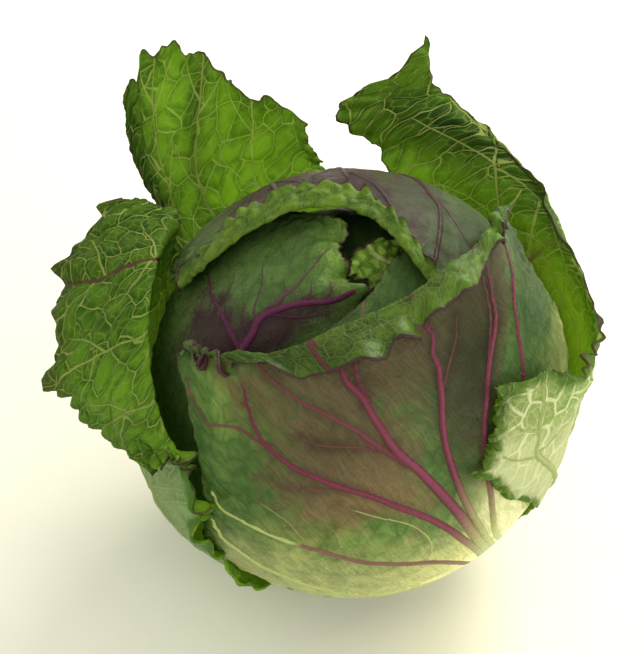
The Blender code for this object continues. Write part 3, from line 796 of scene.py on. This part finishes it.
INNER_LEAF_LEFT = [
    (13, (-8, -4, 0, 4, 8), -9),
    (55, (-40, -20, -2, 16, 32), (-9, -9, -9.6, -10, -10)),
    ((98, 98, 99, 102, 104), (-54, -28, -2, 18, 35), (-9, -9, -10.2, -12, -12.4)),
    ((126, 127, 125, 128, 131), (-56, -31, -1, 19, 38), (-8, -8.6, -10.6, -12.6, -13.2)),
    ((139, 140, 136, 141, 143), (-50, -29, 3, 20, 38), (-7, -6.6, -6.8, -7.4, -10)),
    ((150, 152, 147, 149, 149), (-43, -24, 2, 19, 36), (-6.4, -6, -5.4, -6, -7.6)),
    ((164, 168, 163, 162, 158), (-34, -16, 4, 19, 35), (-7, -6.6, -5.8, -6.2, -6)),
    ((178, 184, 181, 178, 170), (-26, -10, 8, 22, 36), (-8, -8, -7.2, -7, -5.4)),
]
INNER_LEAF_RIGHT = [
    (13, (-8, -4, 0, 4, 8), -6),
    (55, (-34, -16, 4, 24, 44), -6),
    (95, (-36, -14, 8, 30, 52), -6),
    (112, (-27, -8, 10, 30, 50), (-6, -6, -5.6, -5.6, -6)),
    ((122, 121, 120, 122, 121), (-15, -2, 12, 28, 46), (-6.4, -5.2, -4.4, -5, -6)),
    ((128, 127, 128, 134, 132), (-10, 5, 18, 31, 46), (-7.4, -6, -5, -5.6, -6)),
]
INNER_LEAF_SMALL = [
    (80, (2, 8, 14, 20), -11.5),
    ((106, 106, 106, 105), (1, 7, 13, 19), -11.5),
    ((124, 124, 123, 122), (-1, 5, 11, 17), -11.3),
    ((131, 132, 130, 127), (-3, 3, 9, 15), (-9.6, -9.2, -9.2, -9.6)),
    ((134, 136, 134, 130), (-4, 2, 9, 14), (-6.6, -6, -6, -6.6)),
]

LEAVES = {
    "front_leaf": Leaf(
        0, FRONT_LEAF, waves=(("tip", 11, 0.0062), ("right", 3, 0.0005)),
        frills=(("tip", 24, 0.0036),), scallop=0.02, ragged=0.0018, blister=0.0003,
        crinkle=0.0013, free_from=0.85, quilt=(0.16, 0.6), cell=7.0, spacing=1.1,
        ribs=(
            Rib([(0.125, 0.08), (0.125, 0.3), (0.11, 0.45), (0.07, 0.6)], (1.4, 0.6)),
            Rib([(0.25, 0.08), (0.248, 0.24), (0.244, 0.41)], (1.3, 1.0), (0.5, 0.85)),
            Rib([(0.244, 0.41), (0.235, 0.47), (0.215, 0.6), (0.15, 0.68)],
                (1.0, 0.3), (0.85, 0.0)),
            Rib([(0.375, 0.08), (0.375, 0.4), (0.38, 0.71), (0.4, 0.82)], (1.4, 0.4), (0.3, 1.0)),
            Rib([(0.5, 0.08), (0.5, 0.3), (0.48, 0.48), (0.5, 0.64), (0.51, 0.8), (0.5, 1.0)],
                (1.9, 0.6), (0.1, 1.0)),
            Rib([(0.625, 0.08), (0.625, 0.5), (0.62, 0.7), (0.6, 0.9)], (1.3, 0.5), (0.1, 1.0)),
            Rib([(0.75, 0.08), (0.755, 0.45), (0.73, 0.68), (0.7, 0.9)], (1.2, 0.4), (0.0, 1.0)),
            Rib([(0.875, 0.08), (0.88, 0.4), (0.87, 0.52), (0.83, 0.7), (0.8, 0.9)],
                (1.1, 0.4), (0.1, 1.0)),
        ),
        veins=(
            Rib([(0.475, 0.47), (0.465, 0.56), (0.46, 0.65), (0.45, 0.74), (0.44, 0.86)],
                (1.0, 0.4), (1.0, 0.97), 0.7),
            Rib([(0.5, 0.62), (0.51, 0.65), (0.52, 0.7), (0.535, 0.78)],
                (0.9, 0.5), (1.0, 1.0), 0.7),
            Rib([(0.38, 0.7), (0.34, 0.77), (0.17, 0.79), (0.11, 0.82), (0.07, 0.86)],
                (0.7, 0.25), (1.0, 0.95), 0.7),
            Rib([(0.74, 0.56), (0.72, 0.68), (0.705, 0.78)], (0.6, 0.3), (1.0, 0.95), 0.7),
            Rib([(0.25, 0.25), (0.31, 0.28), (0.345, 0.35), (0.34, 0.46)],
                (0.4, 0.2), (0.3, 0.2), 0.5),
            *alike((0.4, 0.15), (1.0, 0.95), 0.5,
                   [(0.46, 0.53), (0.43, 0.6), (0.41, 0.68)],
                   [(0.375, 0.52), (0.35, 0.57), (0.33, 0.66)],
                   [(0.625, 0.52), (0.65, 0.62), (0.66, 0.72)]),
            Rib([(0.25, 0.42), (0.28, 0.5), (0.29, 0.58)], (0.4, 0.2), (0.5, 0.5), 0.5),
        ),
        flush=((0.54, 0.78, 0.2, 0.38, 0.85), (0.74, 0.58, 0.1, 0.26, 0.7),
               (0.4, 0.5, 0.1, 0.16, 0.5), (0.33, 0.47, 0.1, 0.1, 0.35)),
        pale=((0.5, 0.02, 0.8, 0.19, 1.0), (0.08, 0.3, 0.16, 0.22, 0.42),
              (0.26, 0.34, 0.12, 0.2, 0.12), (0.1, 0.48, 0.14, 0.14, 0.25),
              (0.58, 0.2, 0.24, 0.1, 0.8), (0.84, 0.22, 0.22, 0.14, 0.8)),
        painted_shade=((0.96, 0.65, 0.12, 0.4, 0.9), (0.7, 0.57, 0.1, 0.28, 1.0),
              (0.38, 0.95, 0.16, 0.07, 0.6)),
        sunny=((0.3, 0.84, 0.1, 0.1, 0.45), (0.34, 0.44, 0.16, 0.1, 0.4),
               (0.72, 1.0, 0.2, 0.12, 0.25), (0.4, 0.12, 0.5, 0.14, 0.4)),
    ),
    "left_leaf": Leaf(
        -105, LEFT_LEAF, waves=(("right", 7, 0.0058), ("tip", 7, 0.0034), ("left", 4, 0.0018)),
        frills=(("tip", 16, 0.0018), ("right", 22, 0.005)), scallop=0.04, ragged=0.0014,
        blister=0.0011, crinkle=0.0006, free_from=0.72, quilt=(0.3, 0.9), rib_height=0.0019,
        lobes=(("tip", 0.03, 0.022, 0.055), ("tip", 0.21, 0.018, 0.022),
               ("tip", 0.49, 0.02, 0.022), ("tip", 0.72, 0.04, 0.02),
               ("right", 0.37, 0.022, 0.035), ("right", 0.29, 0.018, 0.045)),
        ribs=(straight(0.25, (1.9, 0.6), (0.0, 0.95)), straight(0.5, (1.4, 0.3)),
              straight(0.75, (1.4, 0.3), (0.0, 0.1))),
        veins=side_veins((0.25, 0.62, 0.88, 3, 0.15, 0.08), (0.5, 0.5, 0.86, 3, 0.13, 0.08),
                         (0.75, 0.45, 0.86, 3, 0.15, 0.08)),
        flush=((0.3, 1.0, 0.5, 0.08, 0.5),), pale=((0.5, 0.0, 1.2, 0.42, 1.0),),
        painted_shade=((0.15, 0.8, 0.25, 0.3, 0.5),),
        sunny=((0.7, 0.84, 0.16, 0.12, 0.3), (1.0, 0.5, 0.09, 0.28, 0.8)),
    ),
    "back_left_leaf": Leaf(
        175, BACK_LEFT_LEAF, waves=(("right", 4, 0.0018), ("tip", 6, 0.0032), ("left", 5, 0.0026)),
        frills=(("tip", 17, 0.0016), ("left", 22, 0.0018)), scallop=0.04, ragged=0.0018,
        blister=0.0011, crinkle=0.0006, free_from=0.55, quilt=(0.3, 1.1), rib_height=0.0019,
        lobes=(("right", 0.58, 0.08, 0.11), ("tip", 0.73, 0.035, 0.018),
               ("tip", 0.87, 0.03, -0.015)),
        ribs=(straight(0.25, (1.3, 0.3)), straight(0.5, (1.4, 0.35), (0.0, 0.2)),
              straight(0.75, (1.3, 0.3), (0.0, 0.1))),
        veins=side_veins((0.25, 0.58, 0.86, 3, 0.16, 0.09), (0.5, 0.55, 0.88, 3, 0.13, 0.09),
                         (0.75, 0.62, 0.88, 3, 0.13, 0.08)),
        pale=((0.5, 0.0, 1.2, 0.4, 1.0),),
        painted_shade=((0.92, 0.7, 0.16, 0.22, 0.7), (0.52, 0.9, 0.05, 0.3, 0.4),
              (0.97, 0.86, 0.1, 0.2, 0.7)),
        sunny=((0.28, 0.68, 0.24, 0.18, 1.0), (0.66, 0.9, 0.16, 0.12, 0.4)),
    ),
    "right_leaf": Leaf(
        85, RIGHT_LEAF, waves=(("left", 6, 0.0012), ("tip", 9, 0.0022), ("right", 6, 0.0026)),
        frills=(("left", 24, 0.0022), ("tip", 28, 0.002), ("right", 24, 0.0018)), scallop=0.03,
        ragged=0.0015, blister=0.0011, crinkle=0.0006, free_from=0.55, quilt=(0.45, 1.2),
        rib_height=0.0019, spacing=1.3,
        lobes=(("tip", 1.0, 0.03, 0.04), ("tip", 0.9, 0.04, -0.018), ("right", 0.94, 0.03, -0.018),
               ("tip", 0.39, 0.02, 0.04), ("left", 0.16, 0.03, 0.05),
               ("left", 0.25, 0.02, 0.03), ("left", 0.44, 0.025, 0.04)),
        ribs=(straight(0.2, (1.3, 0.3)), straight(0.4, (1.4, 0.3)),
              straight(0.6, (1.5, 0.35)), straight(0.8, (1.4, 0.3))),
        veins=[
            *side_veins((0.8, 0.52, 0.9, 3, 0.13, 0.09), (0.6, 0.5, 0.88, 3, 0.11, 0.09),
                        (0.4, 0.42, 0.84, 3, 0.11, 0.09), (0.2, 0.42, 0.82, 3, 0.13, 0.09)),
            Rib([(0.72, 0.49), (0.68, 0.57), (0.63, 0.79)], (1.2, 0.6), (0.9, 0.6), 0.7),
            Rib([(0.72, 0.49), (0.71, 0.61), (0.7, 0.9)], (1.3, 0.5), (0.1, 0.0), 0.7),
        ],
        # The third pale patch is painted light, brightening the blade where it faces away from the
        # lamps
        pale=((0.5, 0.0, 1.2, 0.42, 1.0), (0.1, 0.6, 0.3, 0.45, 0.7), (0.56, 0.5, 0.18, 0.16, 1.0)),
        painted_shade=((0.85, 0.82, 0.22, 0.16, 1.0), (0.74, 0.33, 0.2, 0.22, 0.7)),
        sunny=((0.58, 0.5, 0.16, 0.16, 1.0), (0.99, 0.66, 0.09, 0.2, 1.0),
               (0.36, 0.8, 0.14, 0.14, 0.5)),
    ),
    "hood_leaf": Leaf(
        80, HOOD_LEAF, thickness=0.0008, waves=(("left", 11, 0.0018),),
        frills=(("left", 30, 0.0032),), ragged=0.0016, blister=0.0009, crinkle=0.0015,
        free_from=0.95, quilt=(0.22, 0.3), cell=7.0, spacing=1.05,
        ribs=(
            Rib([(1.0, 0.44), (0.66, 0.41), (0.58, 0.4), (0.3, 0.43)], (1.0, 0.4), (1.0, 1.0)),
            Rib([(1.0, 0.57), (0.6, 0.57), (0.2, 0.57)], (1.0, 0.4), (1.0, 1.0)),
            Rib([(1.0, 0.72), (0.6, 0.72), (0.2, 0.72)], (0.9, 0.3), (1.0, 0.9)),
        ),
        veins=alike((0.8, 0.3), (1.0, 0.97), 0.6,
                    [(0.66, 0.41), (0.57, 0.36), (0.5, 0.31)],
                    [(0.8, 0.57), (0.7, 0.62), (0.6, 0.64)],
                    [(0.7, 0.57), (0.6, 0.52), (0.45, 0.5)],
                    [(0.8, 0.72), (0.65, 0.78), (0.45, 0.8)],
                    [(0.75, 0.72), (0.6, 0.67), (0.45, 0.66)]),
        flush=((0.75, 0.62, 0.4, 0.26, 0.9), (0.35, 0.62, 0.25, 0.2, 0.5)),
        pale=((0.5, 0.0, 1.2, 0.2, 1.0),), painted_shade=((0.55, 0.34, 0.25, 0.16, 0.5),),
    ),
    "back_leaf": Leaf(
        -165, BACK_LEAF, thickness=0.0008, blister=0.0003, quilt=(0.22, 0.3), cell=8.0,
        spacing=1.4, ribs=[straight(u, (2.0, 0.6), (0.1, 0.6)) for u in (0.3, 0.5, 0.7)],
        veins=side_veins((0.5, 0.3, 0.85, 4, 0.16, 0.12)),
        flush=((0.5, 1.0, 0.6, 0.35, 0.6),), pale=((0.5, 0.0, 1.2, 0.4, 1.0),),
    ),
    "inner_leaf_left": Leaf(
        -30, INNER_LEAF_LEFT, thickness=0.0008, waves=(("right", 5, 0.0036),),
        frills=(("right", 11, 0.0024),), ragged=0.0018, blister=0.0004, crinkle=0.001,
        quilt=(0.16, 0.3), cell=6.5, spacing=1.1,
        ribs=(
            Rib([(0.49, 0.56), (0.55, 0.6), (0.62, 0.635), (0.74, 0.6), (0.88, 0.56),
                 (0.97, 0.57)], (1.5, 0.5), (1.0, 1.0)),
            Rib([(0.5, 0.55), (0.49, 0.7), (0.45, 0.77), (0.4, 0.84)],
                (1.0, 0.3), (1.0, 1.0), 0.99),
        ),
        veins=(
            Rib([(0.62, 0.64), (0.72, 0.66), (0.8, 0.7), (0.95, 0.85)],
                (0.7, 0.25), (1.0, 0.95), 0.6),
            *alike((0.4, 0.15), (1.0, 1.0), 0.4,
                   [(0.55, 0.6), (0.55, 0.66), (0.57, 0.72)],
                   [(0.59, 0.625), (0.6, 0.68), (0.65, 0.74), (0.66, 0.8)],
                   [(0.7, 0.615), (0.74, 0.66), (0.75, 0.72)],
                   [(0.78, 0.59), (0.82, 0.63), (0.84, 0.69)]),
            Rib([(0.86, 0.565), (0.9, 0.6), (0.91, 0.66)], (0.35, 0.15), (1.0, 1.0), 0.4),
            Rib([(0.64, 0.63), (0.68, 0.59), (0.75, 0.545), (0.84, 0.52)],
                (0.5, 0.2), (1.0, 1.0), 0.4),
            *alike((0.35, 0.15), (1.0, 1.0), 0.4,
                   [(0.47, 0.74), (0.51, 0.77), (0.53, 0.82)],
                   [(0.48, 0.71), (0.43, 0.72), (0.38, 0.75)]),
        ),
        flush=((0.62, 0.57, 0.3, 0.1, 1.0), (0.42, 0.7, 0.14, 0.14, 0.6)),
        pale=((0.5, 0.0, 1.2, 0.25, 1.0),), sunny=((0.97, 0.85, 0.07, 0.3, 0.9),),
    ),
    "inner_leaf_right": Leaf(
        0, INNER_LEAF_RIGHT, thickness=0.0008, frills=(("tip", 14, 0.0006),), ragged=0.001,
        blister=0.0003, quilt=(0.14, 0.3), cell=6.5, spacing=1.3,
        ribs=(straight(0.45, (1.4, 0.5), (0.2, 0.8)),),
        flush=((0.25, 0.8, 0.2, 0.3, 0.7),), pale=((0.5, 0.0, 1.2, 0.3, 1.0),),
    ),
    "inner_leaf_small": Leaf(
        30, INNER_LEAF_SMALL, thickness=0.0008, waves=(("tip", 3, 0.003), ("left", 3, 0.0022)),
        frills=(("tip", 6, 0.003), ("left", 7, 0.0024), ("right", 7, 0.0024)), ragged=0.0022,
        blister=0.0012, crinkle=0.0016, quilt=(0.6, 0.8), cell=5.5, spacing=0.7,
        ribs=(straight(0.5, (1.2, 0.6)),), sunny=((0.5, 0.8, 0.6, 0.5, 0.5),),
    ),
}

# Outer and inner skins of each leaf, by the looks below, and its material slot
SURFACES = {
    "front_leaf": ("front_outer", "front_inner", "flushed_leaf"),
    "hood_leaf": ("hood_outer", "hood_inner", "flushed_leaf"),
    "left_leaf": ("flap_outer", "wrapper_inner", "wrapper_leaf"),
    "back_left_leaf": ("wrapper_outer", "wrapper_inner", "wrapper_leaf"),
    "right_leaf": ("wrapper_outer", "wrapper_inner", "wrapper_leaf"),
    "back_leaf": ("hidden_outer", "head_inner", "wrapper_leaf"),
    "inner_leaf_left": ("head_outer", "head_inner", "head_leaf"),
    "inner_leaf_right": ("head_outer", "head_inner", "head_leaf"),
    "inner_leaf_small": ("heart_outer", "heart_outer", "heart_leaf"),
}


def looks(colours):
    """The finish of every skin, from the colours that a user may change."""
    base = dict(
        rim=tuple(colours.rim), rib=tuple(colours.rib_pale), rib_flush=tuple(colours.rib_purple),
        vein=tuple(colours.vein), pale=tuple(colours.base_pale))
    front = dict(base, cell=7.0, fine=0.12)
    head = dict(base, cell=6.5, fine=0.3, rim_width=0.6)
    wrapper = dict(base, cell=11.0, flush=(0.12, 0.10, 0.07), roughness=0.5, through=0.38,
                   sunny_share=0.0, specular=0.16)
    return {
        "front_outer": dict(
            front, deep=(0.050, 0.130, 0.027), light=(0.14, 0.24, 0.058), pale=(0.68, 0.70, 0.32),
            flush=tuple(colours.flush), net=0.15, painted_pillow_shading=0.05, grain=0.4, mottle=0.45,
            strand_colour=(0.045, 0.055, 0.03), roughness=0.38, wet=0.9, rim_width=0.8,
            pale_net=0.3, specular=0.14),
        "front_inner": dict(
            front, deep=(0.035, 0.095, 0.010), light=(0.11, 0.24, 0.02),
            flush=(0.050, 0.028, 0.012), net=0.16, flush_share=0.35, painted_pillow_shading=0.10, mottle=0.55,
            roughness=0.40, wet=0.6, through=0.15),
        "hood_outer": dict(
            front, deep=(0.050, 0.095, 0.026), light=(0.10, 0.16, 0.05),
            flush=(0.062, 0.038, 0.036), net=0.16, net_flush=0.8, rib_flush=(0.055, 0.018, 0.028),
            crown=(0.11, 0.045, 0.06), painted_pillow_shading=0.05, specular=0.11, halo_shade=0.7,
            strand_colour=(0.06, 0.04, 0.04), roughness=0.42, wet=0.4, rim_width=0.6),
        "hood_inner": dict(
            front, deep=(0.045, 0.11, 0.008), light=(0.16, 0.28, 0.02), flush=(0.10, 0.05, 0.03),
            net=0.18, fine=0.15, flush_share=0.25, painted_pillow_shading=0.08, roughness=0.42, wet=0.6,
            rim_width=0.9, through=0.2),
        "wrapper_outer": dict(
            wrapper, deep=(0.24, 0.38, 0.09), light=(0.40, 0.55, 0.18), net=0.80, fine=0.35,
            rim_width=0.6, lit=(0.9, 1.0, 0.45), vein=(0.98, 1.0, 0.62), pale=(0.46, 0.58, 0.20),
            strand_width=0.034, edge_green=(0.07, 0.16, 0.015)),
        "flap_outer": dict(
            wrapper, deep=(0.20, 0.36, 0.12), light=(0.36, 0.52, 0.22), net=0.30, fine=0.20,
            rim_width=0.5, lit=(0.8, 1.0, 0.5), painted_pillow_shading=0.12, vein=(0.80, 0.92, 0.50),
            pale=(0.42, 0.60, 0.28), strand_width=0.020, edge_green=(0.08, 0.20, 0.02)),
        "wrapper_inner": dict(
            base, deep=tuple(colours.leaf_green), light=tuple(colours.sunlit_green),
            flush=(0.06, 0.035, 0.035), cell=11.0, net=0.75, fine=0.26, pale_share=0.5,
            roughness=0.46, through=0.45, wet=0.2, rim_width=0.9, specular=0.11, painted_pillow_shading=0.16,
            pale=(0.27, 0.41, 0.04), vein=(0.50, 0.62, 0.13), rib=(0.46, 0.56, 0.14),
            strand_width=0.018),
        "hidden_outer": dict(
            base, deep=(0.09, 0.17, 0.05), light=(0.17, 0.27, 0.09), flush=(0.10, 0.06, 0.055),
            cell=8.0, net=0.4, fine=0.25, roughness=0.46),
        "head_outer": dict(
            head, deep=(0.045, 0.110, 0.020), light=(0.10, 0.19, 0.045),
            flush=(0.046, 0.026, 0.025), net=0.25, net_flush=0.7, rib_flush=(0.09, 0.012, 0.052),
            crown=(0.20, 0.035, 0.13), strand_width=0.014, painted_pillow_shading=0.05,
            strand_colour=(0.04, 0.035, 0.025), roughness=0.34, wet=1.0, specular=0.18),
        "head_inner": dict(
            head, deep=(0.08, 0.18, 0.02), light=(0.19, 0.33, 0.05), flush=(0.08, 0.04, 0.04),
            net=0.5, roughness=0.40, wet=0.6),
        "heart_outer": dict(
            head, deep=(0.07, 0.16, 0.015), light=(0.20, 0.34, 0.05), flush=(0.08, 0.04, 0.04),
            cell=5.0, net=0.3, fine=0.2, roughness=0.40, wet=0.8, through=0.3),
    }


def skin(name):
    """The named finish, made once."""
    found = bpy.data.materials.get(name)
    if found:
        return found
    return leaf_material(name, **looks(bpy.context.scene.cabbage_colours)[name])


def build(*names):
    """Adds the named leaves and checks that each follows its solid."""
    for name in names:
        leaf = LEAVES[name]
        leaf.spacing = leaf.spacing * bpy.context.scene.cabbage_sizes.detail
        outer, inner, slot = SURFACES[name]
        made = add_leaf(name, leaf, skin(outer), skin(inner))
        low, high = (np.array(corner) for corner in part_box(name))
        points = np.array([v.co for v in made.data.vertices])
        if np.abs(points.min(0) - low).max() > STRAY or np.abs(points.max(0) - high).max() > STRAY:
            raise RuntimeError(f"{name} doesn't follow its solid")


class CabbageSizes(bpy.types.PropertyGroup):
    detail: bpy.props.FloatProperty(
        name="Mesh spacing", description="Coarser above 1, finer below", default=1.0,
        min=0.8, max=4.0)
    heart_relief: bpy.props.FloatProperty(
        name="Heart relief", description="Depth of the folds of the heart",
        default=0.0009, unit="LENGTH")
    stalk_radius: bpy.props.FloatProperty(
        name="Stalk radius", description="Radius of the cut stalk",
        default=STALK_RADIUS, unit="LENGTH")


class CabbageColours(bpy.types.PropertyGroup):
    leaf_green: bpy.props.FloatVectorProperty(
        name="Leaf green", description="Deep green of the blades",
        default=(0.045, 0.132, 0.011), subtype="COLOR")
    sunlit_green: bpy.props.FloatVectorProperty(
        name="Sunlit green", description="Lighter green of the blades",
        default=(0.155, 0.335, 0.020), subtype="COLOR")
    flush: bpy.props.FloatVectorProperty(
        name="Flush", description="Purple brown of the head",
        default=(0.135, 0.103, 0.055), subtype="COLOR")
    base_pale: bpy.props.FloatVectorProperty(
        name="Pale base", description="Yellow white near the stem",
        default=(0.44, 0.49, 0.18), subtype="COLOR")
    vein: bpy.props.FloatVectorProperty(
        name="Veins", description="Pale net of the blades",
        default=(0.42, 0.54, 0.17), subtype="COLOR")
    rib_pale: bpy.props.FloatVectorProperty(
        name="Pale ribs", description="Ribs without flush",
        default=(0.45, 0.53, 0.19), subtype="COLOR")
    rib_purple: bpy.props.FloatVectorProperty(
        name="Purple ribs", description="Ribs with flush",
        default=(0.14, 0.026, 0.052), subtype="COLOR")
    rim: bpy.props.FloatVectorProperty(
        name="Rim", description="Dark line along the margins",
        default=(0.065, 0.030, 0.036), subtype="COLOR")


class CabbageStage(bpy.types.PropertyGroup):
    floor: bpy.props.FloatVectorProperty(
        name="Floor", description="Colour of the table",
        default=(0.90, 0.885, 0.81), subtype="COLOR")
    sky: bpy.props.FloatProperty(
        name="Room light", description="Strength of the even light", default=0.95)
    lamp: bpy.props.FloatProperty(
        name="Lamp", description="Power of the large soft lamp", default=7.0, unit="POWER")


class CABBAGE_OT_wrapper_leaves(bpy.types.Operator):
    """Build the three crinkled outer leaves and the leaf behind the head"""
    bl_idname = "cabbage.wrapper_leaves"
    bl_label = "Outer leaves"

    def execute(self, context):
        build("left_leaf", "right_leaf", "back_left_leaf", "back_leaf")
        return {"FINISHED"}


class CABBAGE_OT_head_leaves(bpy.types.Operator):
    """Build the smooth flushed leaves that close over the head"""
    bl_idname = "cabbage.head_leaves"
    bl_label = "Head leaves"

    def execute(self, context):
        build("front_leaf", "hood_leaf")
        return {"FINISHED"}


class CABBAGE_OT_inner_leaves(bpy.types.Operator):
    """Build the leaves seen inside the hood's opening"""
    bl_idname = "cabbage.inner_leaves"
    bl_label = "Inner leaves"

    def execute(self, context):
        build("inner_leaf_left", "inner_leaf_right", "inner_leaf_small")
        return {"FINISHED"}


def finished_object(name, shape, used, node):
    """A smooth closed piece in the place of its node."""
    mesh = shaped(name, shape, used)
    mesh.polygons.foreach_set("use_smooth", [True] * len(mesh.polygons))
    return dress(placed(name, mesh), node)


def heart_material():
    made = Shade("heart_skin")
    fold, small = made.noise(60, 5), made.noise(500, 3)
    # Deep greens: painted shade for the shadow that the hood casts on the heart
    colour = made.mix(made.between(fold, 0.35, 0.65), (0.035, 0.09, 0.015), (0.12, 0.22, 0.05))
    colour = made.mix(made.between(small, 0.55, 0.75, 0.0, 0.4), colour, (0.30, 0.38, 0.12))
    gloss = made.between(small, 0.3, 0.7, 0.38, 0.55)
    return made.finish(colour, gloss, made.plus(fold, small), 0.0006, Specular_IOR_Level=0.4)


def stalk_material():
    made = Shade("stalk_cut")
    grain = made.noise(700, 4)
    broad = made.noise(120, 4)
    colour = made.mix(made.between(broad, 0.35, 0.7), (0.60, 0.60, 0.36), (0.42, 0.36, 0.17))
    colour = made.mix(made.between(grain, 0.5, 0.75, 0.0, 0.6), colour, (0.25, 0.17, 0.07))
    gloss = made.between(grain, 0.3, 0.7, 0.5, 0.75)
    return made.finish(colour, gloss, grain, 0.0005, Specular_IOR_Level=0.35)


class CABBAGE_OT_heart(bpy.types.Operator):
    """Build the folded core that the leaves wrap"""
    bl_idname = "cabbage.heart"
    bl_label = "Heart"

    def execute(self, context):
        relief = context.scene.cabbage_sizes.heart_relief
        crown = unit(on_the_ball(CROWN[0], np.array([(*CROWN[1:], 0.0)]))[0] - CENTRE)

        def ball(body):
            bmesh.ops.create_icosphere(body, subdivisions=6, radius=HEART_RADIUS)
            way = unit(np.array([vert.co for vert in body.verts]))
            fold = noises(way * 4.0) + 0.5 * noises(way * 11.0)
            crease = np.abs(noises(way * 17.0 + fold[:, None] * 0.6))
            apart = np.linalg.norm(way - crown, axis=1) * HEART_RADIUS
            dent = CROWN_DENT_DEPTH * np.exp(-((apart / CROWN_DENT_WIDTH) ** 2))
            reach = HEART_RADIUS + relief * (fold - 0.9 + 0.8 * (crease - 0.4)) - dent
            for vert, point in zip(body.verts, (CENTRE + way * reach[:, None]).tolist()):
                vert.co = point

        finished_object("fine_heart", ball, heart_material(), "heart")
        return {"FINISHED"}


class CABBAGE_OT_stalk(bpy.types.Operator):
    """Build the cut stub of the stem"""
    bl_idname = "cabbage.stalk"
    bl_label = "Stalk"

    def execute(self, context):
        radius = context.scene.cabbage_sizes.stalk_radius
        length = STALK_END - STALK_START

        def stub(body):
            bmesh.ops.create_cone(
                body, cap_ends=True, cap_tris=False, segments=96,
                radius1=radius * STALK_TAPER, radius2=radius, depth=length,
            )
            caps = [face for face in body.faces if len(face.verts) > 4]
            rims = [edge for face in caps for edge in face.edges]
            bmesh.ops.bevel(body, geom=rims, offset=STALK_EDGE, segments=3, profile=0.5,
                            affect="EDGES", material=-1)
            caps = [face for face in body.faces if len(face.verts) > 4]
            for _ in range(STALK_RINGS):
                bmesh.ops.inset_region(body, faces=caps, thickness=radius * RING_STEP,
                                       use_even_offset=True)
            turn = Vector((0, 0, 1)).rotation_difference(Vector(STEM))
            middle = Vector(CENTRE) + Vector(STEM) * (STALK_START + length / 2)
            for vert in body.verts:
                angle = math.atan2(vert.co.y, vert.co.x)
                out = math.hypot(vert.co.x, vert.co.y) / radius
                ridge = 1 + RIDGE_HEIGHT * math.cos(STALK_RIDGES * angle) * min(out, 1.0)
                pit = noise.noise(vert.co * 300) * PIT_DEPTH * (1.2 - min(out, 1.0))
                local = Vector((vert.co.x * ridge, vert.co.y * ridge, vert.co.z + pit))
                vert.co = middle + turn @ local

        finished_object("fine_stalk", stub, stalk_material(), "stalk")
        return {"FINISHED"}


class CABBAGE_OT_stage(bpy.types.Operator):
    """Lay the pale table, the soft light and the camera"""
    bl_idname = "cabbage.stage"
    bl_label = "Stage"

    def execute(self, context):
        scene = context.scene
        stage = scene.cabbage_stage
        made = Shade("table")
        grain = made.noise(30, 4)
        colour = made.mix(made.between(grain, 0.3, 0.7, 0.0, 0.06), tuple(stage.floor),
                          (0.70, 0.68, 0.60))
        top = made.finish(colour, made.between(grain, 0.3, 0.7, 0.55, 0.65), grain, 0.0002,
                          Specular_IOR_Level=0.2)

        def flat(body):
            bmesh.ops.create_grid(body, x_segments=4, y_segments=4, size=TABLE_REACH)

        floor = placed("table", shaped("table", flat, top))

        world = bpy.data.worlds.new("room")
        scene.world = world
        world.use_nodes = True
        back = world.node_tree.nodes["Background"]
        back.inputs["Color"].default_value = ROOM_LIGHT
        back.inputs["Strength"].default_value = stage.sky
        aim = Vector(CENTRE)
        for name, place, size, share, colour in LAMPS:
            light = bpy.data.lights.new(name, "AREA")
            light.energy = stage.lamp * share
            light.size = size
            light.color = colour
            lamp = placed(name, light)
            lamp.location = place
            lamp.rotation_euler = (aim - lamp.location).to_track_quat("-Z", "Y").to_euler()
        scene.view_settings.view_transform = "Standard"

        tilt = math.radians(FRONT_ELEVATION)
        right = Vector((1, 0, 0))
        towards = Vector((0, -math.cos(tilt), math.sin(tilt)))
        up = towards.cross(right)
        data = bpy.data.cameras.new("camera")
        data.sensor_fit = "VERTICAL"
        data.sensor_height = SENSOR
        data.lens = LENS
        camera = placed("camera", data)
        place = Matrix((right, up, towards)).transposed().to_4x4()
        place.translation = aim + towards * CAMERA_FAR + right * CAMERA_ASIDE + up * CAMERA_ABOVE
        camera.matrix_world = place
        scene.camera = camera
        return {"FINISHED"}


class CABBAGE_PT_panel(bpy.types.Panel):
    """The pieces of the cabbage and their sizes and colours"""
    bl_idname = "CABBAGE_PT_panel"
    bl_label = "Savoy cabbage"
    bl_space_type = "VIEW_3D"
    bl_region_type = "UI"
    bl_category = "Cabbage"

    def draw(self, context):
        for group in ("cabbage_sizes", "cabbage_colours", "cabbage_stage"):
            box = self.layout.box()
            settings = getattr(context.scene, group)
            for name in type(settings).__annotations__:
                box.prop(settings, name)
        for operator in OPERATORS:
            self.layout.operator(operator.bl_idname)


OPERATORS = (
    CABBAGE_OT_stage, CABBAGE_OT_wrapper_leaves, CABBAGE_OT_head_leaves,
    CABBAGE_OT_inner_leaves, CABBAGE_OT_heart, CABBAGE_OT_stalk,
)
GROUPS = {
    "cabbage_sizes": CabbageSizes, "cabbage_colours": CabbageColours,
    "cabbage_stage": CabbageStage,
}


def register():
    for group in (*GROUPS.values(), *OPERATORS, CABBAGE_PT_panel):
        bpy.utils.register_class(group)
    for name, group in GROUPS.items():
        setattr(bpy.types.Scene, name, bpy.props.PointerProperty(type=group))


def unregister():
    for name in GROUPS:
        delattr(bpy.types.Scene, name)
    for group in (CABBAGE_PT_panel, *reversed(OPERATORS), *reversed(GROUPS.values())):
        bpy.utils.unregister_class(group)


def main():
    register()
    for operator in OPERATORS:
        family, name = operator.bl_idname.split(".")
        getattr(getattr(bpy.ops, family), name)()


if __name__ == "__main__":
    main()
